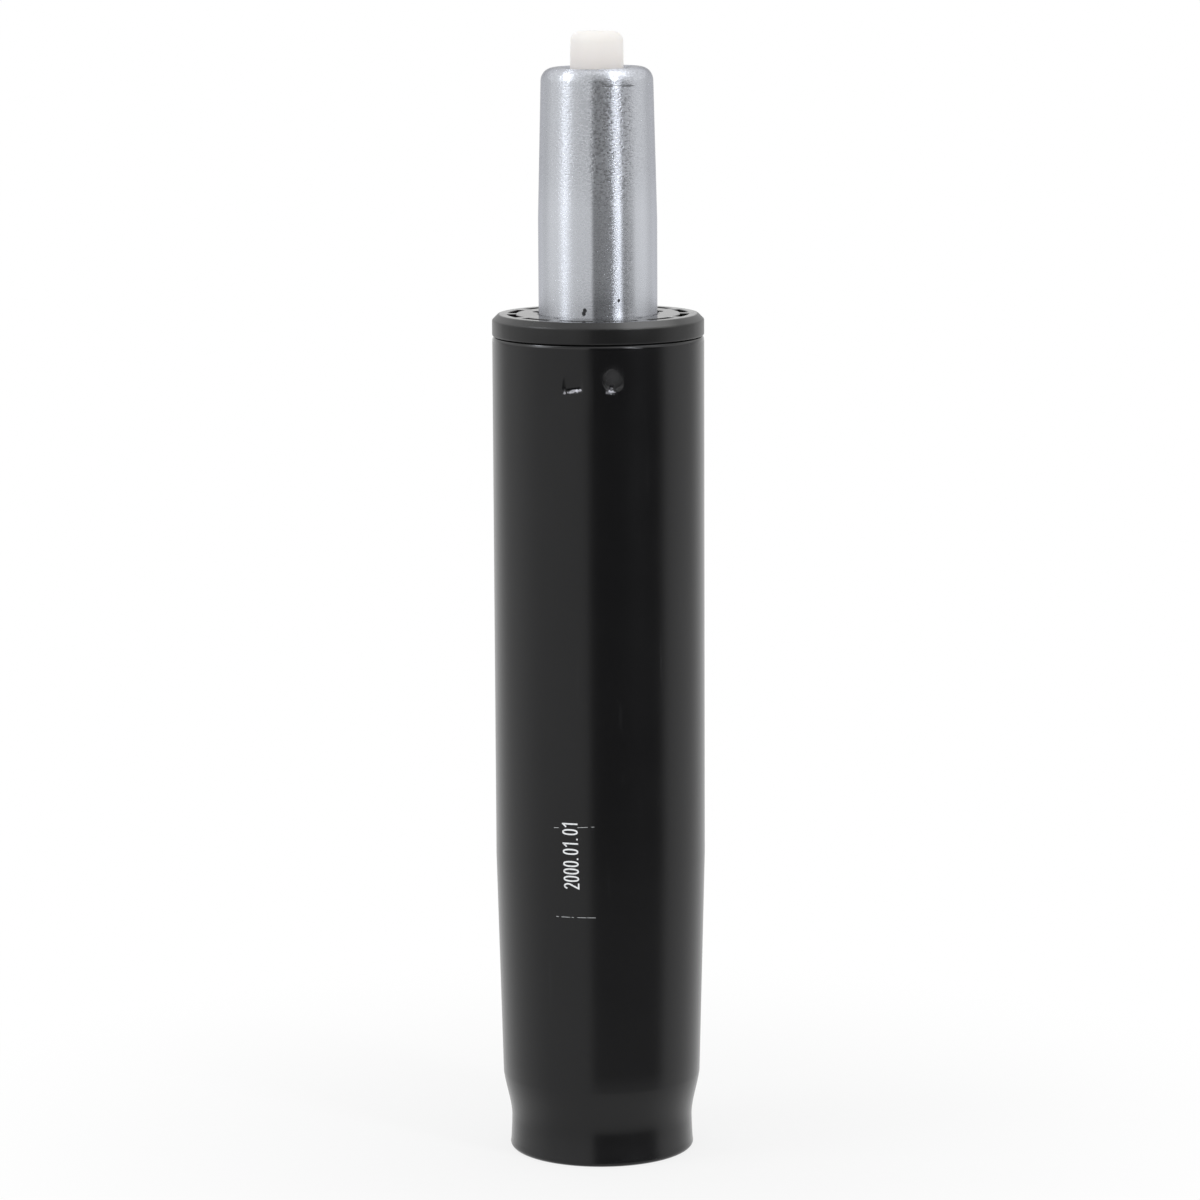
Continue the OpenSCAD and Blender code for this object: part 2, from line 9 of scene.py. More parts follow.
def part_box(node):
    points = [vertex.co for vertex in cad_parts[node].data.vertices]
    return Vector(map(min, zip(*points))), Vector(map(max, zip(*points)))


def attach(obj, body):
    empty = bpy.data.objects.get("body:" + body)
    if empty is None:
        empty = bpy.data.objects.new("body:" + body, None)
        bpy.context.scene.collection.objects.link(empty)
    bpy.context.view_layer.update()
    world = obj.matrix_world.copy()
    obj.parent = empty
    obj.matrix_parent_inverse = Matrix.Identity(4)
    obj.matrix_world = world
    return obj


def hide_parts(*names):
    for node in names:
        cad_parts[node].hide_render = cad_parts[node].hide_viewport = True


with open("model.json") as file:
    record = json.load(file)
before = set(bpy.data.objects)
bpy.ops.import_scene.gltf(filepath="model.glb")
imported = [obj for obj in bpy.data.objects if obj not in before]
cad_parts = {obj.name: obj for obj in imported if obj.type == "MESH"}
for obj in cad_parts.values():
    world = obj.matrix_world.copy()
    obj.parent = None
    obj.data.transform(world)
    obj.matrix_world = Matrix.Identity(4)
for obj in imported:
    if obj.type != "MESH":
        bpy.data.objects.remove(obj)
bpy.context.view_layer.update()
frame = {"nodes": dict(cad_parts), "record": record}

# Chair gas lift cylinder: camera, finished surfaces, finishes, floor and light.
# Lengths are metres in the part's frame: +Z up the axis, -Y the front, +X the front's right.
MM = 0.001
FULL_TURN = 2 * math.pi
FRONT = -math.pi / 2

# Camera
LENS_MM = 138.0
SENSOR_MM = 36.0
CAMERA_TILT_DEG = 8.9
CAMERA_ROLL_DEG = -0.28
CAMERA_PLACE = Vector((0.13 * MM, -1081.0 * MM, 302.4 * MM))

# Sizes that the frame gives
FOOT_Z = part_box("outer_tube")[0].z
TUBE_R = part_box("outer_tube")[1].x
TUBE_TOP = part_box("outer_tube")[1].z
SLEEVE_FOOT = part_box("guide_bush")[0].z
COLLAR_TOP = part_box("guide_bush")[1].z
COLUMN_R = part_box("pressure_tube")[1].x
COLUMN_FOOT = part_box("pressure_tube")[0].z
COLUMN_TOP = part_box("pressure_tube")[1].z
FLANGE_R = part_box("release_button")[1].x
FLANGE_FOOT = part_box("release_button")[0].z
BUTTON_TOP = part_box("release_button")[1].z

# Stand tube
TUBE_STEPS = 108
TUBE_WALL = 2.0 * MM
TUBE_LIP_R = 1.0 * MM
INNER_LIP_R = 0.25 * MM
CONE_SLOPE = math.tan(math.radians(1.438))
BASE_CONE_LEN = 53.4 * MM
NECK_LEN = 11.0 * MM
NECK_IN = 1.95 * MM
SKIRT_LEN = 7.6 * MM
SKIRT_FLARE = 0.35 * MM
FOOT_EDGE_R = 1.0 * MM
FOOT_BEVEL_W = 0.1 * MM
FOOT_BEVEL_H = 0.2 * MM
NECK_TOP = FOOT_Z + SKIRT_LEN + NECK_LEN
CONE_TOP = NECK_TOP + BASE_CONE_LEN
NECK_R = TUBE_R - BASE_CONE_LEN * CONE_SLOPE - NECK_IN

# Stakes punched into the tube's top, in pairs: a square one on the left, a round one on the right
STAKE_W = 5.6 * MM
STAKE_DEPTH = 0.9 * MM
STAKE_LAP = 0.9 * MM
STAKE_Z = TUBE_TOP - 8.1 * MM
STAKE_PAIRS = 2
STAKE_MIDDLE = FRONT + math.radians(-2.6)
STAKE_SPREAD = math.radians(22.6)
STAKE_SIDE = 1.1 * MM
STAKE_EDGE = 0.45 * MM
STAKE_LEDGE = 1.5 * MM
STAKE_BURR = 0.11 * MM
BURR_WAVES = ((1.0, 0.62 * MM, 0.9), (0.7, 0.27 * MM, -0.4))
CUT_DEPTH = 0.35 * MM
CUT_REACH = 0.15 * MM
CUT_DROP = 2.1 * MM
CUT_LEAN = 0.14
CUT_HALF = 2.2 * MM
CUT_FADE = 0.8 * MM
ROUND_TILT = 0.11
LEDGE_FADE = 1.6 * MM
RIGHT_FADE = 1.2 * MM
PIT_DEPTH = 0.55 * MM
PIT_REACH = 0.26 * MM
PIT_LEFT = 0.6 * MM
PIT_DROP = 1.6 * MM
DRAW_DEPTH = 0.1 * MM
DRAW_REACH = 4.2 * MM

# Finer rows and columns of the tube's surface near the stakes
DRAW_ROWS_BELOW = 9.0 * MM
STAKE_ROWS_BELOW = 3.6 * MM
STAKE_ROWS_ABOVE = 3.4 * MM
STAKE_MARGIN = 2.4 * MM
STAKE_STEPS = 80
STEP_GAP = 0.02

# Marks on the tube. A spot is an angle in degrees from the front and a height in millimetres,
# then its half width and half height in the same units.
BARE_SPOTS = (
    ((-18.4, 185.3), (0.7, 0.28)),
    ((-14.6, 185.45), (1.9, 0.3)),
    ((-12.7, 185.75), (1.7, 0.36)),
    ((-10.7, 185.95), (1.7, 0.24)),
    ((6.5, 185.45), (2.4, 0.5)),
    ((7.2, 186.3), (0.8, 0.27)),
)
SCUFFS = (((11, 109.2), (0.9, 3.0)), ((12, 94.4), (0.7, 1.6)))
# Painted reflection that lightens the round stake's facet: its middle, then its half width and half height
STAKE_SHEEN_MIDDLE = (8.0, 189.0)
STAKE_SHEEN_SIZE = (7.0, 3.1)
# Painted light that makes the tube's coat paler near the foot: full below the first height, gone above the
# second
FOOT_LIGHT_FULL_Z = 2 * MM
FOOT_LIGHT_END_Z = 9 * MM
POLISH_START = 1.3 * MM
POLISH_FULL = 0.9 * MM

# Guide bush
BUSH_STEPS = 144
COLLAR_BEVEL = 1.4 * MM
COLLAR_SEAM = 0.22 * MM
COLLAR_SOFT = 0.25 * MM
SEAM_SOFT = 0.2 * MM
BEVEL_IN_R = TUBE_R - COLLAR_BEVEL
SLEEVE_FIT = 0.05 * MM
SLEEVE_R = TUBE_R - TUBE_WALL - SLEEVE_FIT
SLEEVE_BEVEL = 0.5 * MM
BORE_FIT = 0.05 * MM
BORE_R = COLUMN_R + BORE_FIT
BORE_BEVEL = 0.5 * MM
BORE_SOFT = 0.2 * MM
BORE_RELIEF = 0.4 * MM
LAND_LEN = 22.0 * MM
GROOVE_R = 2.0 * MM
GROOVE_COUNT = 5
GROOVE_STEPS = 23
GROOVE_MARGIN = 1.15
POCKET_COUNT = 12
POCKET_OUT_R = TUBE_R - 3.6 * MM
POCKET_IN_R = POCKET_OUT_R - 2.0 * MM
POCKET_BRIDGE = 2.6 * MM
POCKET_DEPTH = 9.0 * MM
CORE_OUT_R = SLEEVE_R - 2.4 * MM
CORE_IN_R = BORE_R + GROOVE_R + 2.4 * MM
CORE_DEPTH = 44.0 * MM
POCKET_EDGE = 0.15 * MM
WALL_LEAN = 0.02 * MM
STAKE_GROOVE_R = 21.66 * MM
STAKE_GROOVE_H = 4.3 * MM
RIM_FADE = 0.5 * MM
# Painted light on the collar's bevel: it starts and is full at these depths below the top
BEVEL_LIGHT_START = 1.9 * MM
BEVEL_LIGHT_FULL = 1.3 * MM

# Column
COLUMN_STEPS = 192
COLUMN_WALL = 1.5 * MM
SEAT_CONE_LEN = 35.0 * MM
SEAT_CONE_FOOT = COLUMN_TOP - SEAT_CONE_LEN
COLUMN_TOP_R = 3.0 * MM
COLUMN_FOOT_R = 2.5 * MM
COLUMN_LIP_W = 4.0 * MM
TOP_DISH = 0.2 * MM
CREST_RISE = 0.35 * MM
CREST_LOW = FRONT - math.radians(30)
CREST_ROWS = 17
HOLE_EDGE_R = 0.3 * MM
GRIND_FADE = 14 * MM
CREASE_Z = COLUMN_TOP - 3.8 * MM
CREASE_DEPTH = 0.06 * MM
CREASE_W = 0.15 * MM
CREASE_START = FRONT + math.radians(3)
CREASE_END = FRONT + math.radians(41)
CREASE_FADE = 0.08

# Marks on the column: painted shade along the crease, its stretches as a middle and a half width in
# degrees, and grease spots
CREASE_SHADE = ((9.5, 7.5), (33, 10))
CREASE_SHADE_HALF_MM = 0.22
GREASE_MARKS = (
    ((-12.6, 203.4), (1.9, 0.65)),
    ((-13.7, 202.65), (2.1, 0.55)),
    ((20.2, 205.6), (1.5, 0.44)),
)

# Release button
BUTTON_STEPS = 128
BUTTON_R = 6.25 * MM
BUTTON_EDGE_R = 2.4 * MM
BUTTON_DRAFT = 0.06 * MM
BUTTON_FLANGE_T = 2.0 * MM
BUTTON_GAP = 0.35 * MM
FLANGE_SOFT = 0.2 * MM
SOCKET_R = 2.05 * MM
SOCKET_DEPTH = 4.05 * MM
POLE_R = 0.3 * MM

# Printed date on the tube, read upwards
PRINT_FOOT = 68.15 * MM
PRINT_TURN = FRONT + math.radians(-11.6)
PRINT_LEAN = 0.024
PRINT_HEIGHT = 3.8 * MM
PRINT_STROKE = 0.36 * MM
PRINT_RISE = 0.015 * MM
PRINT_SINK = 0.03 * MM
DIGIT_W = 1.44 * MM
DIGIT_PITCH = 1.775 * MM
DOT_PITCH = 1.15 * MM
PRINT_TEXT = "2000.01.01"
STROKE_POINTS = 25
RING_POINTS = 40

# Broken hairlines across the print: a height, a lean, and dashes as angles in degrees from the front
TICK_W = 0.07 * MM
TICK_POINTS = 9
UPPER_DASHES = ((-26.0, -23.0), (-12.5, -6.9), (-4.9, -3.4))
LOWER_DASHES = ((-25.1, -23.7), (-22.1, -17.1), (-16.2, -15.0), (-12.9, -8.1), (-7.5, -2.9))
TICK_LINES = ((83.0 * MM, 0.06, UPPER_DASHES), (61.35 * MM, 0.012, LOWER_DASHES))

# Inner finishes: a dark and a light colour, the roughness, and the lines or grain per metre
METALS = {
    "plate_steel": ((0.36, 0.37, 0.39), (0.52, 0.53, 0.54), 0.32, 900.0),
    "race_steel": ((0.44, 0.44, 0.46), (0.58, 0.58, 0.60), 0.22, 2600.0),
    "rod_chrome": ((0.58, 0.58, 0.60), (0.70, 0.70, 0.72), 0.10, 2600.0),
    "piston_alloy": ((0.52, 0.52, 0.53), (0.66, 0.66, 0.67), 0.28, 2600.0),
    "spring_steel": ((0.12, 0.12, 0.14), (0.26, 0.26, 0.28), 0.34, 700.0),
    "ball_steel": ((0.62, 0.62, 0.64), (0.72, 0.72, 0.74), 0.08, 2600.0),
    "drawn_steel": ((0.42, 0.42, 0.44), (0.56, 0.56, 0.58), 0.30, 1200.0),
    "valve_brass": ((0.50, 0.33, 0.10), (0.64, 0.45, 0.16), 0.26, 2600.0),
}
MOULDINGS = {
    "band_plastic": ((0.70, 0.68, 0.62), (0.80, 0.78, 0.72), 0.42, 1800.0),
    "seal_rubber": ((0.010, 0.010, 0.011), (0.022, 0.022, 0.023), 0.55, 1500.0),
    "bump_rubber": ((0.014, 0.014, 0.015), (0.028, 0.028, 0.029), 0.62, 1100.0),
    "cage_plastic": ((0.46, 0.37, 0.15), (0.58, 0.48, 0.22), 0.45, 1800.0),
    "guide_plastic": ((0.038, 0.038, 0.042), (0.06, 0.06, 0.066), 0.45, 1800.0),
}

# Floor, lamps and surround. An azimuth of 0 is the camera's side, and right is positive.
FLOOR_HALF = 1.6
SHADOW_R = 0.04
SHADOW_END_R = 0.2
LAMP_AIM_Z = 0.16
# Round lights that only reflections show: azimuth and height in degrees, width, and strength
ROUND_LIGHTS = ((-89, 47, 0.07, 16.0), (36, 27, 0.07, 18.0), (95, 66, 0.28, 2.6))


class Wire:
    """A socket of a node tree. Operators on it add Math nodes, and add() adds any other node."""

    def __init__(self, tree, socket=None):
        self.tree = tree
        self.socket = socket

    def add(self, kind, settings, sockets, out=0):
        """A new node: its type, its settings, then its sockets' values or links."""
        node = self.tree.nodes.new(kind)
        for name, value in settings.items():
            setattr(node, name, value)
        for name, value in sockets.items():
            if isinstance(value, Wire):
                self.tree.links.new(value.socket, node.inputs[name])
            else:
                node.inputs[name].default_value = value
        return Wire(self.tree, node.outputs[out] if len(node.outputs) else None)

    def out(self, name):
        """Another output of the node that this socket belongs to."""
        return Wire(self.tree, self.socket.node.outputs[name])

    def math(self, operation, *values):
        """A Math node on values or wires."""
        return self.add("ShaderNodeMath", {"operation": operation}, dict(enumerate(values)))

    def __add__(self, other):
        return self.math("ADD", self, other)

    def __sub__(self, other):
        return self.math("SUBTRACT", self, other)

    def __mul__(self, other):
        return self.math("MULTIPLY", self, other)

    def __truediv__(self, other):
        return self.math("DIVIDE", self, other)

    def __rsub__(self, other):
        return self.math("SUBTRACT", other, self)

    def __rtruediv__(self, other):
        return self.math("DIVIDE", other, self)

    __radd__ = __add__
    __rmul__ = __mul__


def make_camera():
    """Camera at the photograph's place: a long lens, tilted down, with a slight roll."""
    lens = bpy.data.cameras.new("photo_camera")
    lens.lens = LENS_MM
    lens.sensor_width = SENSOR_MM
    lens.clip_start = 10 * MM
    camera = bpy.data.objects.new("photo_camera", lens)
    bpy.context.scene.collection.objects.link(camera)
    tilt = Matrix.Rotation(math.radians(90.0 - CAMERA_TILT_DEG), 4, "X")
    roll = Matrix.Rotation(math.radians(CAMERA_ROLL_DEG), 4, "Z")
    camera.matrix_world = Matrix.Translation(CAMERA_PLACE) @ (tilt @ roll)
    bpy.context.scene.camera = camera


def arc(middle, radius, start_deg, end_deg, count):
    """Points (r, z) of a circle's arc round a middle point."""
    a = np.radians(np.linspace(start_deg, end_deg, count))
    return np.column_stack([middle[0] + radius * np.cos(a), middle[1] + radius * np.sin(a)])


def bend(before, corner, after, cut, count=6):
    """A soft corner: the quadratic curve from one cut before the corner to one cut after it."""
    before, corner, after = np.array(before), np.array(corner), np.array(after)
    first = corner + (before - corner) * cut / np.linalg.norm(before - corner)
    last = corner + (after - corner) * cut / np.linalg.norm(after - corner)
    t = np.linspace(0, 1, count)[:, None]
    return (1 - t) ** 2 * first + 2 * t * (1 - t) * corner + t**2 * last


def run(start, end, count):
    """Points (r, z) evenly along a straight line."""
    return np.linspace(start, end, count)


def rows_between(start, stops):
    """Heights from a start to each stop in turn, without the start. A stop is a height and the
    count of even steps to it."""
    rows = []
    for stop, count in stops:
        rows.append(np.linspace(start, stop, count + 1)[1:])
        start = stop
    return np.concatenate(rows)


def smooth(value):
    """Smooth step: 3v^2 - 2v^3 of a value held between 0 and 1."""
    v = np.clip(value, 0, 1)
    return v * v * (3 - 2 * v)


def even_columns(count):
    """Angles of a count of even steps round the axis."""
    return np.arange(count) * FULL_TURN / count


def sorted_columns(angles, digits):
    """Angles brought into one turn, rounded so that equal ones merge, in order."""
    return np.unique(np.round(angles % FULL_TURN, digits) % round(FULL_TURN, digits))


def wrapped(angle):
    """An angle brought into the half turn on both sides of zero."""
    return (angle + math.pi) % FULL_TURN - math.pi


def skin(name, r, z, turn, poles=False, sharp_deg=32):
    """A turned surface: row i, column j lies at radius r[i, j], angle turn[j], height z[i, j].
    Rows run up the outside and down the inside and close on themselves, or, with poles, the
    first and the last row shrink to one point each on the axis."""
    rows, columns = r.shape
    points = np.stack([r * np.cos(turn), r * np.sin(turn), z], axis=-1).reshape(-1, 3)
    low = np.arange(rows * columns).reshape(rows, columns)
    next_low = np.roll(low, -1, axis=1)
    if poles:
        ends = np.array([[0, 0, z[0, 0]], [0, 0, z[-1, 0]]])
        points = np.concatenate([points, ends])
        first = np.full(columns, rows * columns)
        last = first + 1
        caps = np.concatenate([
            np.column_stack([first, next_low[0], low[0]]),
            np.column_stack([last, low[-1], next_low[-1]]),
        ]).tolist()
        up, next_up = low[1:], next_low[1:]
        low, next_low = low[:-1], next_low[:-1]
    else:
        caps = []
        up, next_up = np.roll(low, -1, axis=0), np.roll(next_low, -1, axis=0)
    quads = np.stack([low, next_low, next_up, up], axis=-1).reshape(-1, 4)
    return put_mesh(name, points, quads.tolist() + caps, sharp_deg)


def put_mesh(name, points, faces, sharp_deg):
    """A new object from points and faces, smooth but for edges sharper than an angle."""
    mesh = bpy.data.meshes.new(name)
    mesh.from_pydata(points.tolist(), [], faces)
    mesh.validate()
    mesh.shade_smooth()
    mesh.set_sharp_from_angle(angle=math.radians(sharp_deg))
    piece = bpy.data.objects.new(name, mesh)
    bpy.context.scene.collection.objects.link(piece)
    return piece


def stake_columns():
    """Angles round the tube: coarse all round, with fine steps across each stake."""
    reach = (STAKE_W / 2 + STAKE_MARGIN) / TUBE_R
    sides = np.array([-0.5, 0.5]) * STAKE_SPREAD
    pairs = STAKE_MIDDLE + even_columns(STAKE_PAIRS)
    centres = (pairs[:, None] + sides).ravel()
    coarse = even_columns(TUBE_STEPS)
    offset = np.abs(wrapped(coarse[:, None] - centres)).min(axis=1)
    fine = (centres[:, None] + np.linspace(-reach, reach, STAKE_STEPS)).ravel()
    return sorted_columns(np.concatenate([coarse[offset > reach + STEP_GAP], fine]), 6)


def square_stake(u, v, width, rough):
    """The square stake at u across and v up from its middle: its punch's depth there, the share of
    that depth the wall takes, and the bell curve of a leaning cut along its foot."""
    foot = smooth((v + width / 2 + STAKE_LEDGE / 3 + rough) / STAKE_LEDGE)
    inside = smooth((width / 2 - np.abs(u)) / STAKE_SIDE) * foot
    cut = CUT_DEPTH * np.exp(-(((v + CUT_DROP - CUT_LEAN * u) / CUT_REACH) ** 2))
    return STAKE_DEPTH / 3, inside, cut * smooth((CUT_HALF - np.abs(u)) / CUT_FADE)


def round_stake(u, v, width, rough):
    """The round stake: a punch that leans to its left, an edge that is soft on the right and at the
    lower left, and the bell curve of a pit near its foot."""
    ledge = smooth(-2 * v / width) * smooth(0.5 - u / LEDGE_FADE)
    soft = np.maximum(ledge, smooth(u / RIGHT_FADE))
    edge = STAKE_EDGE + (STAKE_LEDGE - STAKE_EDGE) * soft
    inside = smooth((width / 2 + edge / 4 - np.hypot(u, v - rough / 2)) / edge)
    pit = PIT_DEPTH * np.exp(-((u + PIT_LEFT) ** 2 + (v + PIT_DROP) ** 2) / (2 * PIT_REACH**2))
    return STAKE_DEPTH / 2 - ROUND_TILT * u, inside, pit


def stake_press(z, turn, width, draw):
    """How far the stakes press the wall in. On each one a flat punch leans, so that its depth
    falls from the lower edge to none at the upper edge, less the wall's own curve across it.
    Below it the wall comes out again over a ledge with a burr, a sum of sine waves along the
    turn, and round each stake a bell curve draws the wall in a little."""
    lean = STAKE_DEPTH / STAKE_W
    v = z - STAKE_Z
    press = 0
    for pair in even_columns(STAKE_PAIRS):
        for side, stake in ((-0.5, square_stake), (0.5, round_stake)):
            u = TUBE_R * wrapped(turn - (STAKE_MIDDLE + pair) - side * STAKE_SPREAD)
            waves = sum(share * np.sin(u / length + phase) for share, length, phase in BURR_WAVES)
            deep, inside, mark = stake(u, v, width, STAKE_BURR * waves)
            flat = np.maximum(deep - v * lean - u**2 / (2 * TUBE_R), 0)
            around = draw * np.exp(-(u**2 + (v + STAKE_W / 3) ** 2) / (2 * DRAW_REACH**2))
            press = np.maximum(press, np.maximum(flat * inside + mark, around))
    return press


def tube_radius(z):
    """Outside radius of the stand tube: flared skirt, then up the neck the mean of half a cosine
    wave and a power curve, then cone and shank."""
    t = np.clip((z - FOOT_Z - SKIRT_LEN) / NECK_LEN, 0, 1)
    neck = NECK_R + NECK_IN * ((1 - np.cos(math.pi * t)) / 2 + t**1.5) / 2
    flare = SKIRT_FLARE * np.clip(1 - (z - FOOT_Z) / SKIRT_LEN, 0, 1) ** 1.5
    cone = np.clip(z - NECK_TOP, 0, BASE_CONE_LEN) * CONE_SLOPE
    return neck + flare + cone


def make_outer_tube():
    """Stand tube: rows up the outside, over the lip, down the inside and under the foot,
    with the stakes pressed into both walls."""
    turn = stake_columns()
    heights = rows_between(FOOT_Z + FOOT_EDGE_R, (
        (FOOT_Z + SKIRT_LEN, 9),
        (NECK_TOP, 28),
        (CONE_TOP, 13),
        (STAKE_Z - DRAW_ROWS_BELOW, 9),
        (STAKE_Z - STAKE_ROWS_BELOW, 11),
        (STAKE_Z + STAKE_ROWS_ABOVE, 67),
        (TUBE_TOP - TUBE_LIP_R, 7),
    ))[:-1]
    foot_r = NECK_R + SKIRT_FLARE
    foot_edge = arc((foot_r - FOOT_EDGE_R, FOOT_Z + FOOT_EDGE_R), FOOT_EDGE_R, -90, 0, 9)
    lip = arc((TUBE_R - TUBE_LIP_R, TUBE_TOP - TUBE_LIP_R), TUBE_LIP_R, 0, 90, 12)
    outside = np.concatenate([foot_edge, np.column_stack([tube_radius(heights), heights]), lip])
    inner_top = TUBE_R - TUBE_WALL + INNER_LIP_R
    inner_lip = arc((inner_top, TUBE_TOP - INNER_LIP_R), INNER_LIP_R, 90, 180, 5)
    down = heights[heights < TUBE_TOP - 2 * TUBE_LIP_R][::-3]
    wall = np.column_stack([tube_radius(down) - TUBE_WALL, down])
    foot_in = foot_r - TUBE_WALL
    foot_bevel = np.array([[foot_in, FOOT_Z + FOOT_BEVEL_H], [foot_in + FOOT_BEVEL_W, FOOT_Z]])
    inside = np.concatenate([inner_lip, wall, foot_bevel])
    out_z, in_z = outside[:, 1:], inside[:, 1:]
    r_out = outside[:, :1] - stake_press(out_z, turn, STAKE_W, DRAW_DEPTH)
    r_in = inside[:, :1] - stake_press(in_z, turn, STAKE_W + STAKE_LAP, 0)
    r = np.concatenate([r_out, r_in])
    z = np.concatenate([out_z, in_z]) * np.ones_like(turn)
    return skin("stand_tube", r, z, turn)


def bush_columns():
    """Angles round the bush: even steps, the edges of every bridge, and fine steps at each groove."""
    edges = np.concatenate([bridge_edge_angles(POCKET_IN_R), bridge_edge_angles(CORE_IN_R)])
    bridges = even_columns(POCKET_COUNT)[:, None] + np.concatenate([-edges, edges])
    reach = GROOVE_MARGIN * GROOVE_R / BORE_R
    across = reach * np.sin(np.linspace(-1, 1, GROOVE_STEPS) * math.pi / 2)
    grooves = groove_middles()[:, None] + across
    return sorted_columns(np.concatenate([even_columns(BUSH_STEPS), bridges.ravel(), grooves.ravel()]), 5)


def bridge_edge_angles(ring_r):
    """Angles from a bridge's middle to the start, the edge and the foot of its side wall."""
    half = POCKET_BRIDGE / 2
    return np.array([half - POCKET_EDGE, half, half + WALL_LEAN]) / ring_r


def groove_middles():
    """Angles of the grease grooves, the first one at the back."""
    return math.pi / 2 + even_columns(GROOVE_COUNT)


def pocket_sink(r, turn, in_r, out_r, depth):
    """How deep the ring of pockets lies below its face: the lesser of a wall across the radius
    and a wall across the turn, each with a small slanted edge at the face."""
    across = np.interp(
        r,
        [in_r - POCKET_EDGE, in_r, in_r + WALL_LEAN, out_r - WALL_LEAN, out_r, out_r + POCKET_EDGE],
        [0, POCKET_EDGE, depth, depth, POCKET_EDGE, 0],
    )
    pitch = FULL_TURN / POCKET_COUNT
    from_bridge = np.abs((turn + pitch / 2) % pitch - pitch / 2)
    along = np.interp(from_bridge, bridge_edge_angles(in_r), [0, POCKET_EDGE, depth])
    return np.minimum(across, along)


def groove_reach(turn):
    """Radius to which the grease grooves cut: a circle's far side, seen from the axis."""
    offset = np.abs(wrapped(turn[:, None] - groove_middles())).min(axis=1)
    room = np.maximum(GROOVE_R**2 - (BORE_R * np.sin(offset)) ** 2, 0)
    return np.where(room > 0, BORE_R * np.cos(offset) + np.sqrt(room), 0)


def ring_rows(in_r, out_r):
    """Radii of the rows that a ring of pockets needs across its width."""
    inner = [in_r - POCKET_EDGE, in_r, in_r + WALL_LEAN]
    outer = [out_r - WALL_LEAN, out_r, out_r + POCKET_EDGE]
    return np.array([*inner, (in_r + out_r) / 2, *outer])


def bush_face(turn, groove, z, ring, last_r, depth):
    """Rows outwards along a face of the bush, from the bore's edge over a ring of pockets that
    sink by a depth, negative for down."""
    rows = np.append(ring_rows(*ring), last_r)
    edge = np.maximum(BORE_R + BORE_BEVEL, groove + POCKET_EDGE)
    near = edge + (rows[0] - edge) * np.linspace(0, 1, 5)[:-1, None]
    r = np.concatenate([near, rows[:, None] * np.ones_like(turn)])
    return r, z + math.copysign(1, depth) * pocket_sink(r, turn, *ring, abs(depth))


def bush_side():
    """Outline up the sleeve with its groove behind the stakes, out under the collar past the
    seam, up the rim and over the bevel."""
    seam_in = (TUBE_R - COLLAR_SEAM, TUBE_TOP)
    seam_out = (TUBE_R, TUBE_TOP + COLLAR_SEAM)
    bevel_low = (TUBE_R, COLLAR_TOP - COLLAR_BEVEL)
    bevel_top = (BEVEL_IN_R, COLLAR_TOP)
    top_in = (POCKET_OUT_R, COLLAR_TOP)
    groove_low = STAKE_Z - STAKE_GROOVE_H
    groove_top = STAKE_Z + STAKE_GROOVE_H
    return np.concatenate([
        run((SLEEVE_R, SLEEVE_FOOT + SLEEVE_BEVEL), (SLEEVE_R, groove_low), 4),
        [(STAKE_GROOVE_R, groove_low), (STAKE_GROOVE_R, groove_top)],
        [(SLEEVE_R, groove_top), (SLEEVE_R, TUBE_TOP), seam_in],
        bend(seam_in, seam_out, bevel_low, SEAM_SOFT),
        bend(seam_out, bevel_low, bevel_top, COLLAR_SOFT, 9),
        bend(bevel_low, bevel_top, top_in, COLLAR_SOFT, 9)[:-1],
    ])


def bush_bore():
    """Outline down the bore: a soft bevel, the upper land, the relief and the lower land."""
    land_top = COLLAR_TOP - LAND_LEN
    land_foot = SLEEVE_FOOT + LAND_LEN
    relief_r = BORE_R + BORE_RELIEF
    mouth = (BORE_R + BORE_BEVEL, COLLAR_TOP)
    return np.concatenate([
        bend(mouth, (BORE_R, COLLAR_TOP - BORE_BEVEL), (BORE_R, land_top), BORE_SOFT, 4),
        [(BORE_R, land_top), (relief_r, land_top - BORE_RELIEF)],
        [(relief_r, land_foot + BORE_RELIEF), (BORE_R, land_foot)],
        [(BORE_R, SLEEVE_FOOT + BORE_BEVEL)],
    ])


def make_guide_bush():
    """Moulded bush: rows out along its lower face, up the sleeve and the collar, in along the
    top face and down the bore. Pockets sink both faces and grooves widen the bore."""
    turn = bush_columns()
    ones = np.ones_like(turn)
    groove = groove_reach(turn)
    cores = (CORE_IN_R, CORE_OUT_R)
    pockets = (POCKET_IN_R, POCKET_OUT_R)
    lower_r, lower_z = bush_face(turn, groove, SLEEVE_FOOT, cores, SLEEVE_R - SLEEVE_BEVEL, CORE_DEPTH)
    upper_r, upper_z = bush_face(turn, groove, COLLAR_TOP, pockets, BEVEL_IN_R - COLLAR_SOFT, -POCKET_DEPTH)
    side = bush_side()
    bore = bush_bore()
    r = np.concatenate([lower_r, side[:, :1] * ones, upper_r[::-1], np.maximum(bore[:, :1], groove)])
    z = np.concatenate([lower_z, side[:, 1:] * ones, upper_z[::-1], bore[:, 1:] * ones])
    return skin("guide_collar", r, z, turn)


def column_radius(z, turn):
    """Outside radius of the column: straight, then the seat cone, with a shallow crease, a bell
    curve up the height, that fades in and out at two angles."""
    cone = np.maximum(z - SEAT_CONE_FOOT, 0) * CONE_SLOPE
    window = smooth((turn - CREASE_START) / CREASE_FADE) * smooth((CREASE_END - turn) / CREASE_FADE)
    crease = CREASE_DEPTH * np.exp(-(((z - CREASE_Z) / CREASE_W) ** 2))
    return COLUMN_R - cone - crease * window


